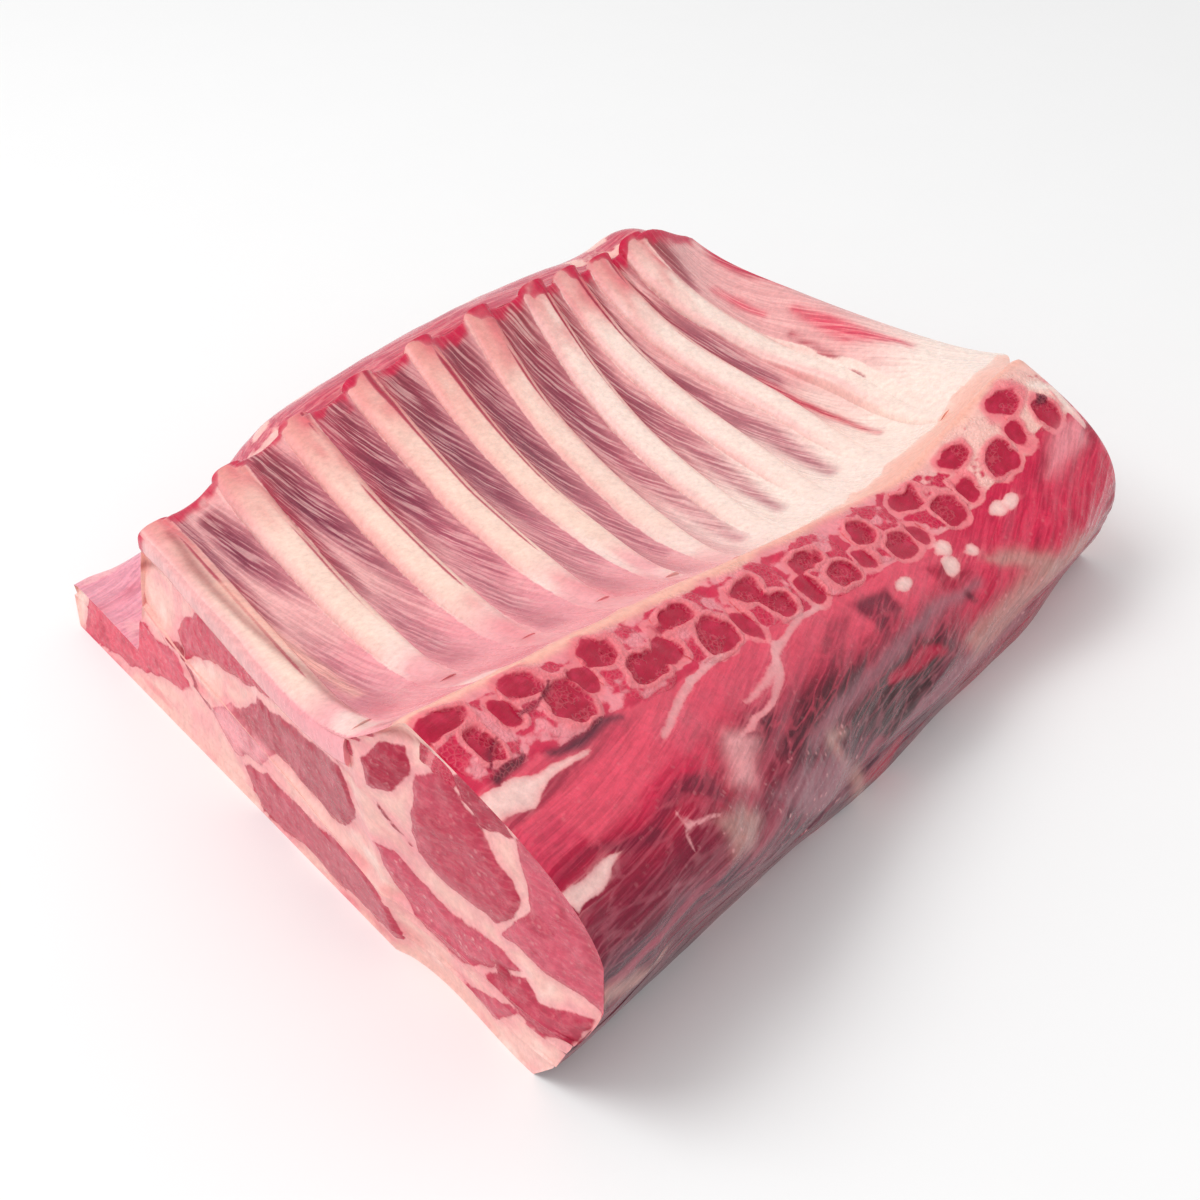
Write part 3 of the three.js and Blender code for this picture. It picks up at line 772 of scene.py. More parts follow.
    def marrow(self, q: Array, d: Array) -> Array:
        """Distance into the marrow of the sawn vertebrae.

        Each vertebra shows an upper disc near the edge, a wide one below it and a small one
        beside that, which sink along the rack; every disc is an oval whose border wanders.

        Args:
            q: station.
            d: distance from the chine edge.

        Returns:
            Millimetres, negative outside every disc.
        """
        rack = self.rack
        u = q * rack.pitch
        flat = np.stack([u, d, np.zeros_like(u)], -1)
        bend = 1.0 * lattice_noise(flat, 4.5, 21) + 0.6 * lattice_noise(flat, 2.2, 22)
        best = np.full(np.shape(q), -30.0)
        draw = np.random.default_rng(7)
        for k in range(rack.ribs):
            jitter = draw.uniform(-1.0, 1.0, (3, 4))
            upper = min(4.6 + 1.1 * k, 9.5) if k < 7 else 7.4
            ovals = (
                (25.4 * k + 0.5, upper, 5.6, 3.4),
                (26.0 * k + 5.0, min(13.2 + 0.8 * k, 17.2), 5.8 if k else 4.0, 4.6),
                (26.0 * k + 15.5, min(9.0 + 2.6 * k, 16.5), 3.3, 4.0),
            )
            for (along, down, wide, tall), (ju, jd, jw, jt) in zip(ovals, jitter):
                du = (u - along - 0.9 * ju) / (wide * (1 + 0.2 * jw))
                dd = (d - down - 0.6 * jd) / (tall * (1 + 0.2 * jt))
                squareness = (np.abs(du) ** 2.5 + np.abs(dd) ** 2.5) ** (1 / 2.5)
                best = np.maximum(best, (1 - squareness) * min(wide, tall))
        return best + 0.95 * bend

    def fall(self, u: Array) -> Array:
        """How far a fibre that starts at the neck end's cut has risen at u: steeper further on."""
        near = np.minimum(u, 57.0)
        return 0.12 * near + 0.003 * near**2 + 0.46 * (u - near)

    def medial(self, q: Array, d: Array) -> Paint:
        """The sawn and cut side: bone under the edge, then muscle, tendon, and fat at the foot.

        Args:
            q: station.
            d: distance from the chine edge.

        Returns:
            The painting.
        """
        rack = self.rack
        u = q * rack.pitch
        flat = np.stack([u, d, np.zeros_like(u)], -1)
        wander = 1.6 * lattice_noise(flat, 12.0, 31) + 0.9 * lattice_noise(flat, 5.0, 32)
        cross = 1.2 * lattice_noise(flat, 9.0, 37) + 0.7 * lattice_noise(flat, 4.0, 38)
        v, t = u + cross, d + 0.8 * wander
        across = d + self.fall(u)
        bundle = lattice_noise(np.stack([u * 0.12, across, 0 * u], -1), 3.4, 33)

        paint = Paint(u, Hue.BONE_BLUSH, Hue.CORAL)
        paint.tint_pale(ease(u, 165, 215), Hue.FAT)
        paint.muscle(t - 21.0, Hue.CORAL, 1.0)
        paint.tint_meat(ease(t, 30, 40), Hue.SCARLET)
        paint.tint_meat(ease(t, 38, 47), Hue.CRIMSON)
        paint.tint_meat(ease(t, 46, 58), Hue.WINE)
        paint.tint_meat(ease(t, 60, 66) * ease(-u, -75, -35), Hue.VIOLET)
        mid = ease(u + 2 * wander, 50, 78) * ease(-u, -172, -146)
        paint.tint_meat(ease(u, 150, 190) * ease(t, 24, 40) * 0.6, Hue.CRIMSON)
        paint.tint_meat(mid * ease(t, 30, 42), Hue.GARNET)
        paint.tint_meat(mid * ease(t, 48, 60) * 0.9, Hue.VIOLET)
        paint.tint_meat(mid * knob((u - 104) / 26) * knob((t - 46) / 11), Hue.NIGHT)
        paint.tint_meat(ease(u, 158, 190) * ease(-t, -62, -50), Hue.SCARLET)
        paint.tint_meat(ease(bundle, 0.1, 0.7) * 0.4 * ease(t, 23, 28), Hue.ROSE)
        paint.tint_meat(ease(-bundle, 0.1, 0.7) * 0.55 * ease(t, 23, 28), Hue.WINE)
        paint.tint_pale(ease(t, 20, 25), Hue.CORAL)
        paint.tint_pale(ease(t, 40, 56) * 0.75, Hue.DUSK)
        paint.streak = (0.55 - 0.15 * mid) * ease(t, 20, 26)
        paint.web = 0.3 * ease(t, 24, 32)

        for corners, tint in SIDE_MUSCLES:
            paint.tint_meat(ease(inside_distance(v, t, corners), -1.5, 1.5), tint)
        paint.tint_meat(ease(strand_distance(v, t, SIDE_BUNDLE), -1.0, 1.0), Hue.CRIMSON)

        flecks = 2.4 * rough_noise(flat * np.array([0.8, 1.0, 1.0]), 4.2, 34) + 0.35
        zone = np.where(t < 21.5, flecks - 1.6 * ease(-d, -5, -2), -DEEP)
        paint.muscle(zone - 1.4 * ease(u, 170, 215), Hue.SCARLET, 0.6)
        paint.fat(1.9 + 0.8 * ease(u, 40, 90) + 0.7 * wander - d, Hue.PEACH, 0.6)
        bone = self.marrow(q, d)
        paint.fat(np.where(t < 26, bone + 1.5, -DEEP), Hue.BONE_SAWN, 0.3)
        paint.muscle(np.where(d < 26, bone, -DEEP), Hue.MARROW, 0.35)
        bright = ease(rough_noise(flat, 2.2, 36), -0.1, 0.6)
        paint.tint_meat(ease(bone, -0.2, 0.4) * bright * 0.5, Hue.MARROW_LIGHT)
        paint.streak *= ease(-bone, -0.5, 0.5)
        paint.web *= ease(-bone, -0.5, 0.5)

        for knots, tint in SIDE_TENDONS:
            paint.fat(strand_distance(v, t, knots) - 0.3, tint, 0.6)
        for knots, tint in SIDE_FILMS:
            paint.smear(strand_distance(v, t, knots), tint, 0.85, 0.7)
        paint.fat(inside_distance(v, t, SIDE_WHITE) - 0.4, Hue.PEARL, 0.6)
        for corners, tint in SIDE_SCRAPS:
            paint.smear(inside_distance(v, t, corners), tint, 0.8, 0.9)
        lumps = np.full(u.shape, -DEEP)
        for along, down in SIDE_BEADS:
            lumps = np.maximum(lumps, 2.0 - np.hypot(0.7 * (v - along), t - down) + 0.8 * cross)
        paint.fat(lumps, Hue.PEARL, 0.5)
        paint.muscle(strand_distance(v, t, SIDE_BRUISE), Hue.VIOLET, 0.5)
        for knots in SIDE_SLITS:
            paint.muscle(strand_distance(v, t, knots), Hue.GARNET, 0.4)
        # Pale crumbs of fat, partly painted glints of the wet surface: strongest low in the middle
        # and far along.
        crumb_glint_zone = ease(u, 58, 66) * ease(-u, -112, -100) * ease(t, 46, 52)
        crumb_glint_zone = np.maximum(crumb_glint_zone, knob((u - 45) / 9) * knob((t - 57) / 7))
        far_crumb_glints = ease(u, 150, 165) * ease(t, 42, 47) * ease(-t, -66, -58) * 0.8
        crumb_glint_zone = np.maximum(crumb_glint_zone, far_crumb_glints)
        paint.crumb_glint = np.clip(0.15 * ease(t, 24, 34) + 0.85 * crumb_glint_zone, 0, 1)
        paint.grain = np.stack([u, across, 0.3 * d], -1)
        paint.wet = 0.65 + 0.35 * ease(t, 44, 54)
        return paint

    # The cut ends

    def near_cut(self, y: Array, z: Array) -> Paint:
        """Neck end: the eye of the loin and the muscles round it, in pale fat.

        Args:
            y: distance from the spine.
            z: height.

        Returns:
            The painting.
        """
        flat = np.stack([y, z, np.zeros_like(y)], -1)
        u = y + 1.0 * lattice_noise(flat, 8.0, 41) + 0.5 * lattice_noise(flat, 3.0, 42)
        v = z + 1.0 * lattice_noise(flat, 8.0, 43) + 0.5 * lattice_noise(flat, 3.0, 44)
        soft = rough_noise(flat, 9.0, 45)
        paint = Paint(y, Hue.FAT, Hue.EYE)
        paint.tint_pale(ease(-soft, 0.0, 0.5) * 0.6, Hue.PINK)
        paint.tint_pale(ease(soft, 0.2, 0.6) * 0.5, Hue.CREAM)
        for tint, corners in NECK_MUSCLES:
            paint.muscle(inside_distance(u, v, corners), tint, 0.7)
        for across, up, radius in NECK_SPOTS:
            paint.muscle(radius - np.hypot(u - across, v - up), Hue.CRIMSON, 0.5)
        for knots in NECK_SEAMS:
            paint.muscle(strand_distance(u, v, knots), Hue.BROWN, 0.4)
        brown = strand_distance(y, z + 0.5 * (v - z), NECK_RIM)
        paint.tint_pale(ease(brown, -1.0, 0.6) * 0.75, Hue.BROWN)
        above = z - 80.0 + 0.0021 * np.clip(y, 0, 200) ** 2 + 0.8 * (v - z)
        paint.tint_pale(ease(above, -9, -3) * ease(y, -12, 6) * 0.7, Hue.PEACH)
        paint.tint_pale(knob((above + 5) / 1.3) * ease(y, -8, 10) * 0.6, Hue.BROWN)
        paint.tint_pale(ease(-v, -16, -2) * ease(-u, 20, 36) * 0.4, Hue.PEARL)
        paint.tint_pale(ease(paint.lean, -3.2, 0.0) * 0.55, Hue.PINK)
        layers = lattice_noise(np.stack([u * 0.12, v + 0.02 * u, 0 * u], -1), 2.6, 48)
        paint.tint_pale(ease(layers, 0.25, 0.7) * ease(y, -10, 20) * 0.4, Hue.CORAL)
        paint.tint_meat(ease(rough_noise(flat, 6.0, 46), 0.05, 0.6) * 0.45, Hue.ROSE)
        paint.tint_meat(ease(rough_noise(flat, 4.0, 47), 0.1, 0.6) * 0.5, Hue.CRIMSON)
        paint.tint_meat(ease(-rough_noise(flat, 3.0, 49), 0.15, 0.6) * 0.15, Hue.PINK)
        paint.grain = np.stack([y * 7.0, z, 0.2 * y], -1)
        paint.streak = np.full(y.shape, 0.22)
        # Pale crumbs on the lean, partly painted glints, thickest on that one muscle.
        middle = ease(inside_distance(u, v, NECK_MUSCLES[CRUMB_GLINT_MUSCLE][1]), -1.0, 2.0)
        paint.crumb_glint = 0.45 + 0.5 * middle
        paint.wet = np.full(y.shape, 0.5)
        return paint

    def far_cut(self, y: Array, z: Array) -> Paint:
        """Loin end: the same muscles further along, drawn a little wider and lower."""
        return self.near_cut(y * 0.94 + 2.0, z * 1.28 - 2.0)

    def cuts(self) -> tuple[tuple, tuple]:
        """The two cut ends: row, painter, whether its faces turn over, and the way inwards."""
        return (0, self.near_cut, False, 1.0), (-1, self.far_cut, True, -1.0)

    # The outside

    def shelf(self, q: Array, y: Array, z: Array) -> Paint:
        """Outer muscle beyond the rib tips, under its shiny membrane."""
        rack = self.rack
        u = q * rack.pitch
        flat = np.stack([u, y, z], -1)
        paint = Paint(u, Hue.FAT, Hue.ROSE)
        cover = rough_noise(flat * np.array([0.4, 1.0, 1.0]), 9.0, 51)
        paint.muscle(cover * 5 + 2.0 - 3.0 * ease(q, 6.5, 9), Hue.ROSE, 1.5)
        paint.tint_meat(ease(-u, -50, -5) * 0.85, Hue.MEMBRANE)
        paint.tint_meat(ease(cover, 0.1, 0.6) * 0.6, Hue.SCARLET)
        paint.tint_meat(ease(-cover, 0.2, 0.7) * 0.4, Hue.CORAL)
        paint.tint_pale(ease(-u, -60, -15) * 0.6, Hue.MEMBRANE)
        paint.grain = np.stack([u, y, z], -1)
        paint.streak = np.full(u.shape, 0.5)
        paint.web = np.full(u.shape, 0.12)
        paint.wet = np.full(u.shape, 0.85)
        return paint

    def outside(self, q: Array, y: Array, z: Array) -> Paint:
        """Outer fat under its dry skin, with muscle showing through where it is thin."""
        rack = self.rack
        u = q * rack.pitch
        flat = np.stack([u, y, z], -1)
        paint = Paint(u, Hue.CREAM, Hue.ROSE)
        thin = rough_noise(flat * np.array([0.5, 1.0, 1.0]), 34.0, 61)
        paint.muscle(thin * 14 - 6.5, Hue.ROSE, 2.0)
        paint.tint_pale(ease(thin, -0.2, 0.5), Hue.PEARL)
        paint.tint_pale(ease(rough_noise(flat, 16.0, 62), 0.1, 0.6) * 0.5, Hue.PEACH)
        paint.tint_meat(ease(-thin, -0.9, -0.4), Hue.MEMBRANE)
        paint.grain = np.stack([y, u, z], -1)
        paint.streak = np.full(u.shape, 0.4)
        paint.web = np.full(u.shape, 0.4)
        paint.wet = np.full(u.shape, 0.3)
        return paint


# Putting a closed skin together ---------------------------------------------------------------


class Shell:
    """A closed skin of triangles, put together from grids that share their border vertices."""

    def __init__(self, name: str) -> None:
        """Starts empty.

        Args:
            name: of the piece.
        """
        self.name = name
        self.points: list[Array] = []
        self.count = 0
        self.faces: list[Array] = []
        self.looks: list[Array] = []

    def add(self, points: Array) -> Array:
        """Adds points in maker's millimetres, and gives their numbers in the same layout."""
        flat = points.reshape(-1, 3)
        ids = np.arange(self.count, self.count + len(flat))
        self.points.append(flat)
        self.count += len(flat)
        return ids.reshape(points.shape[:-1])

    def triangles(self, corners: Array, looks: Array, flip: bool) -> None:
        """Adds triangles, leaving out those that have shrunk to a line.

        Args:
            corners: (n, 3) point numbers.
            looks: (n, 3, channels) painting at each corner.
            flip: turns the faces over.
        """
        a, b, c = corners.T
        kept = (a != b) & (b != c) & (a != c)
        order = [0, 2, 1] if flip else [0, 1, 2]
        self.faces.append(corners[kept][:, order])
        self.looks.append(looks[kept][:, order].astype(np.float32))

    def grid(self, ids: Array, look: Array, flip: bool = False, wrap: bool = False) -> None:
        """Adds a grid of squares, each split in two.

        Args:
            ids: (rows, columns) point numbers.
            look: (rows, columns, channels) painting.
            flip: turns the faces over.
            wrap: joins the last column to the first.
        """
        if wrap:
            ids = np.concatenate([ids, ids[:, :1]], 1)
            look = np.concatenate([look, look[:, :1]], 1)
        for pick in (((0, 0), (1, 0), (1, 1)), ((0, 0), (1, 1), (0, 1))):
            rows, columns = ids.shape
            parts = [(slice(i, rows - 1 + i), slice(j, columns - 1 + j)) for i, j in pick]
            corners = np.stack([ids[p].ravel() for p in parts], 1)
            looks = np.stack([look[p].reshape(-1, look.shape[-1]) for p in parts], 1)
            self.triangles(corners, looks, flip)

    def strip(self, fine: Array, coarse: Array, look: Array, coarse_look: Array,
              flip: bool) -> None:
        """Joins a fine row of points to a coarse one: a fan at each coarse point, and between.

        Args:
            fine: point numbers of the fine row.
            coarse: point numbers of the coarse row, with the same ends.
            look: painting of the fine row.
            coarse_look: painting of the coarse row.
            flip: turns the faces over.
        """
        step = (len(fine) - 1) // (len(coarse) - 1)
        i = np.arange(len(fine) - 1)
        near = (i + step // 2) // step
        self.triangles(
            np.stack([fine[i], coarse[near], fine[i + 1]], 1),
            np.stack([look[i], coarse_look[near], look[i + 1]], 1),
            flip,
        )
        j = np.arange(len(coarse) - 1)
        turn = (j + 1) * step - step // 2
        self.triangles(
            np.stack([fine[turn], coarse[j], coarse[j + 1]], 1),
            np.stack([look[turn], coarse_look[j], coarse_look[j + 1]], 1),
            flip,
        )

    def finish(self, material: bpy.types.Material, slot: str, nodes: list[str],
               crease: float = 50.0) -> bpy.types.Object:
        """Makes the Blender object, and puts it in the place of its CAD nodes.

        Args:
            material: its finish.
            slot: name of its material slot; not used.
            nodes: CAD nodes that it stands for.
            crease: edges sharper than this many degrees stay crisp.

        Returns:
            The object.
        """
        points = (np.concatenate(self.points) - ORIGIN) * MM
        points = np.clip(points, np.array(CAD_BOX[0]), np.array(CAD_BOX[1]))
        faces = np.concatenate(self.faces)
        looks = np.concatenate(self.looks).reshape(-1, self.looks[0].shape[-1])
        used, faces = np.unique(faces, return_inverse=True)
        points, faces = points[used], faces.reshape(-1, 3)
        corners = points[faces]
        volume = np.einsum("ij,ij->", corners[:, 0], np.cross(corners[:, 1], corners[:, 2]))
        if volume < 0:
            raise ValueError(f"{self.name} is inside out")
        mesh = bpy.data.meshes.new(self.name)
        mesh.vertices.add(len(points))
        mesh.vertices.foreach_set("co", points.astype(np.float32).ravel())
        mesh.loops.add(faces.size)
        mesh.loops.foreach_set("vertex_index", faces.astype(np.int32).ravel())
        mesh.polygons.add(len(faces))
        mesh.polygons.foreach_set("loop_start", np.arange(0, faces.size, 3, dtype=np.int32))
        mesh.update(calc_edges=True)
        mesh.validate()
        column = 0
        for name, channel in LOOK_CHANNELS.items():
            values = looks[:, column : column + channel.width]
            column += channel.width
            if channel is COLOUR:
                values = np.concatenate([values, np.ones((len(values), 1), np.float32)], 1)
            layer = mesh.attributes.new(name, channel.kind, "CORNER")
            values = np.ascontiguousarray(values, np.float32).ravel()
            layer.data.foreach_set(channel.field_name, values)
        mesh.polygons.foreach_set("use_smooth", np.ones(len(faces), bool))
        mesh.set_sharp_from_angle(angle=math.radians(crease))
        mesh.materials.append(material)
        piece = bpy.data.objects.new(self.name, mesh)
        bpy.context.collection.objects.link(piece)
        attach(piece, "root")
        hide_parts(*nodes)
        LOG.info("%s: %d triangles in place of %s", self.name, len(faces), ", ".join(nodes))
        return piece


def surface_normals(points: Array) -> Array:
    """Unit normals of a grid of points, from the cross product of its two directions."""
    along, across = np.gradient(points, axis=0), np.gradient(points, axis=1)
    normal = np.cross(along, across)
    return normal / np.maximum(np.linalg.norm(normal, axis=-1, keepdims=True), 1e-9)


def soften(points: Array, corner: Array, passes: int) -> Array:
    """Rounds a grid along its columns: each point moves towards the middle of its neighbours.

    Args:
        points: (rows, columns, 3).
        corner: (columns) strength from 0 to 1, at the corners to round.
        passes: how often.

    Returns:
        The rounded grid; its first and last columns stay.
    """
    points = points.copy()
    pull = 0.5 * corner[None, 1:-1, None]
    for _ in range(passes):
        middle = 0.5 * (points[:, :-2] + points[:, 2:]) - points[:, 1:-1]
        points[:, 1:-1] += pull * middle
    return points


def resample(curves: Array, count: int) -> Array:
    """Spaces points evenly along the curve of each row, by its running length.

    Args:
        curves: (rows, knots, 2).
        count: points of the new curves.

    Returns:
        (rows, count, 2).
    """
    lengths = np.linalg.norm(np.diff(curves, axis=1), axis=-1).cumsum(1)
    lengths = np.concatenate([np.zeros((len(curves), 1)), lengths], 1)
    places = np.linspace(0.0, 1.0, count)
    rows = [
        [np.interp(places * run[-1], run, curve[:, axis]) for axis in (0, 1)]
        for run, curve in zip(lengths, curves)
    ]
    return np.array(rows).transpose(0, 2, 1)


def ruled_face(rack: Rack, q: float, lower: Array, upper: Array, rows: int) -> Array:
    """A cut face: lines ruled from its lower curve to its upper one, bent to its station.

    Args:
        rack: the shape.
        q: station of the cut.
        lower: (columns, 3) points along its bottom.
        upper: (columns, 3) points along its top.
        rows: how many rows it has, with those two.

    Returns:
        (rows, columns, 3) points.
    """
    face = mix(lower[None], upper[None], np.linspace(0.0, 1.0, rows)[:, None, None])
    y, z = face[1:-1, :, 1], face[1:-1, :, 2]
    face[1:-1, :, 0] = rack.station_x(np.full_like(y, q), y, z)
    return face


def face_numbers(shell: Shell, face: Array, bottom: Array, top: Array) -> Array:
    """Numbers of a face's points: its border is there already, and the inner ones are added."""
    ids = np.empty(face.shape[:2], np.int64)
    ids[0], ids[-1] = bottom, top
    ids[1:-1, 0], ids[1:-1, -1] = bottom[0], bottom[-1]
    ids[1:-1, 1:-1] = shell.add(face[1:-1, 1:-1])
    return ids


# The layers -----------------------------------------------------------------------------------


@dataclass
class Loin:
    """Loin, chest wall and inner fat: one shell from the sawn side over the chest to the tips."""

    rack: Rack
    anatomy: Anatomy
    rows: int = 184
    medial_columns: int = 148
    top_columns: int = 184
    side_columns: int = 20
    base_columns: int = 27  # a whole number of the other columns stand on each
    cut_rows: int = 44

    def stations(self) -> Array:
        """Stations a little denser between the ribs, with two more close to each cut end."""
        rack = self.rack
        inner = np.linspace(rack.near + 0.05, rack.far - 0.05, self.rows - 4)
        bounded = ease(inner, 0.0, 0.5) * ease(-inner, -9.0, -8.5)
        inner = inner + 0.05 * np.sin(2 * np.pi * inner) * bounded
        return np.concatenate(
            [[rack.near, rack.near + 0.02], inner, [rack.far - 0.02, rack.far]]
        )

    def section(self, q: Array) -> tuple[Array, Array]:
        """The upper curve of each section: the sawn side, the chest and the side of the tips.

        Args:
            q: stations.

        Returns:
            (rows, columns) of y and of z.
        """
        rack = self.rack
        q = q[:, None]
        s = rack.share(q)
        start = rack.foot_y(s, "seam_top")
        foot = rack.seam_top(rack.share_at(q, start), start)
        up = np.linspace(0.0, 1.0, self.medial_columns, endpoint=False)[None]
        z_side = mix(foot, rack.chine_z(s), 0.4 * up + 0.6 * np.sin(0.5 * np.pi * up))
        y_side = rack.medial_y(s, z_side)
        out = np.linspace(0.0, 1.0, self.top_columns)[None]
        y_top = mix(rack.chine_y(s), rack.tip_y, out**1.12)
        z_top = rack.top(rack.share_at(q, y_top), y_top) - rack.hollow(q, y_top)
        down = np.linspace(0.0, 1.0, self.side_columns + 1)[None, 1:]
        y_tip = rack.layer_edge + np.sin(np.pi * (1 - down)) + (1 - down)
        edge = np.full_like(s, rack.layer_edge)
        z_tip = mix(z_top[:, -1:], rack.seam_top(rack.share_at(q, edge), edge), down)
        y_tip = np.broadcast_to(y_tip, z_tip.shape)
        return np.concatenate([y_side, y_top, y_tip], 1), np.concatenate([z_side, z_top, z_tip], 1)

    def relief(self, q: Array, y: Array, z: Array, d: Array) -> Array:
        """Height of the lumps, fibres and fat over the bare shape.

        Lumps are lattice noise. Fibre ridges are noise stretched along the fibres. On the sawn
        side clumps of fat stand out and the bruised part sinks in.

        Args:
            q: station.
            y: distance from the spine.
            z: height.
            d: distance from the chine edge.

        Returns:
            Millimetres outwards.
        """
        rack = self.rack
        place = np.stack([q * rack.pitch, y, z], -1)
        chest = ease(y - rack.chine_y(rack.share(q)), 0.0, 6.0)
        u = q * rack.pitch
        across = d + self.anatomy.fall(u)
        fibre = np.stack([u * 0.12, across, 0 * u], -1)
        side = 1.1 * rough_noise(place, 15.0, 71) + 0.8 * rough_noise(fibre, 5.0, 72)
        for height, along, long, down, tall in SIDE_RELIEF:
            side += height * knob((u - along) / long) * knob((d - down) / tall)
        side *= ease(d, 14, 30)
        side += 0.6 * rough_noise(place, 4.0, 73) * ease(d, 30, 12) * ease(d, 0, 4)
        w, _ = rack.off_rib(rack.fanned(q, y), y)
        swell = 0.5 * rough_noise(place * np.array([1, 0.35, 1]), 9.0, 74) * ease(np.abs(w), 4, 6)
        top = swell + 0.35 * rough_noise(place, 5.0, 75)
        top += 0.9 * ease(y, 128, 138) * rough_noise(place, 4.0, 76)
        return np.where(d > 0, side * (1 - chest), 0) + top * chest

    def build(self, material: bpy.types.Material) -> bpy.types.Object:
        """Makes the shell.

        Args:
            material: its finish.

        Returns:
            The piece.
        """
        rack, shell = self.rack, Shell("loin_meat")
        q = self.stations()
        y, z = self.section(q)
        grid_q = np.broadcast_to(q[:, None], y.shape)
        chine = self.medial_columns
        steps = np.hypot(np.diff(y, axis=1), np.diff(z, axis=1))
        run = np.concatenate([np.zeros((len(q), 1)), steps.cumsum(1)], 1)
        d = run[:, chine : chine + 1] - run
        place = np.stack([rack.station_x(grid_q, y, z), y, z], -1)
        column = np.arange(y.shape[1])
        tip = chine + self.top_columns - 1
        place = soften(place, np.clip(knob((column - chine) / 4.0) * 1.3, 0, 1), 14)
        place = soften(place, knob((column - tip) / 1.4), 8)
        ends = np.minimum(q - rack.near, rack.far - q)[:, None] * rack.pitch
        border = ease(ends, 0.0, 2.5) * ease(run, 0.0, 3.0) * (1 - 0.85 * ease(y, 132, 137.5))
        rise = self.relief(grid_q, y, z, d) * border
        place = place + surface_normals(place) * rise[..., None]
        place[..., 2] -= 0.8 * ease(-ends, -1.8, 0.0) * ease(run, 0.0, 3.0)
        upper = shell.add(place)

        side_look = self.anatomy.medial(grid_q[:, :chine], d[:, :chine]).stacked()
        y_chest = np.minimum(y[:, chine:], rack.tip_y)
        chest_look = self.anatomy.chest(rack.fanned(grid_q[:, chine:], y_chest), y_chest)
        shell.grid(upper, np.concatenate([side_look, chest_look.stacked()], 1))
        self.close(shell, q, place, upper)
        return shell.finish(material, "loin_meat", ["loin"])

    def close(self, shell: Shell, q: Array, place: Array, upper: Array) -> None:
        """Adds the cut ends, as lines ruled from the base up to the section, and the base.

        Args:
            shell: the shell so far.
            q: its stations.
            place: points of the upper grid.
            upper: their numbers.
        """
        rack = self.rack
        total = place.shape[1]
        coarse = np.linspace(0.0, 1.0, self.base_columns + 1)
        fine = np.linspace(0.0, 1.0, total)
        rows = {}
        for end, paint, flip, inwards in self.anatomy.cuts():
            line = place[end]
            y = mix(line[0, 1], line[-1, 1], fine)
            z = rack.seam_top(rack.share_at(q[end], y), y)
            z = z + mix(line[0, 2] - z[0], line[-1, 2] - z[-1], fine)
            lower = np.stack([rack.station_x(np.full(total, q[end]), y, z), y, z], -1)
            face = ruled_face(rack, q[end], lower, line, self.cut_rows)
            look = paint(face[..., 1], face[..., 2])
            spot = np.stack([face[..., 1], face[..., 2], 0 * face[..., 0]], -1)
            lift = np.linspace(0.0, 1.0, self.cut_rows)[:, None]
            inside = np.minimum(lift, 1 - lift) * 2
            sink = 0.9 * ease(-look.lean, -2.5, 0.8) + 0.5 + 0.5 * rough_noise(spot, 7.0, 81)
            face[..., 0] += inwards * sink * ease(inside, 0.0, 0.12)
            bottom = upper[end].copy()
            bottom[1:-1] = shell.add(face[0, 1:-1])
            ids = face_numbers(shell, face, bottom, upper[end])
            shell.grid(ids, look.stacked(), flip=flip)
            rows[end] = (ids[0], look.stacked()[0])
        inner_q = q[1:-1]
        start, stop = place[1:-1, :1], place[1:-1, -1:]
        y = mix(start[..., 1], stop[..., 1], coarse[None])
        z = rack.seam_top(rack.share_at(inner_q[:, None], y), y)
        z = z + mix(start[..., 2] - z[:, :1], stop[..., 2] - z[:, -1:], coarse[None])
        x = rack.station_x(np.broadcast_to(inner_q[:, None], y.shape), y, z)
        base = np.stack([x, y, z], -1)
        ids = np.empty(y.shape, np.int64)
        ids[:, 1:-1] = shell.add(base[:, 1:-1])
        ids[:, 0], ids[:, -1] = upper[1:-1, 0], upper[1:-1, -1]
        look = Paint(y, Hue.FAT).stacked()
        shell.grid(ids, look, flip=True)
        for end, flip in ((0, True), (-1, False)):
            fine_ids, fine_look = rows[end]
            shell.strip(fine_ids, ids[end], fine_look, look[end], flip)


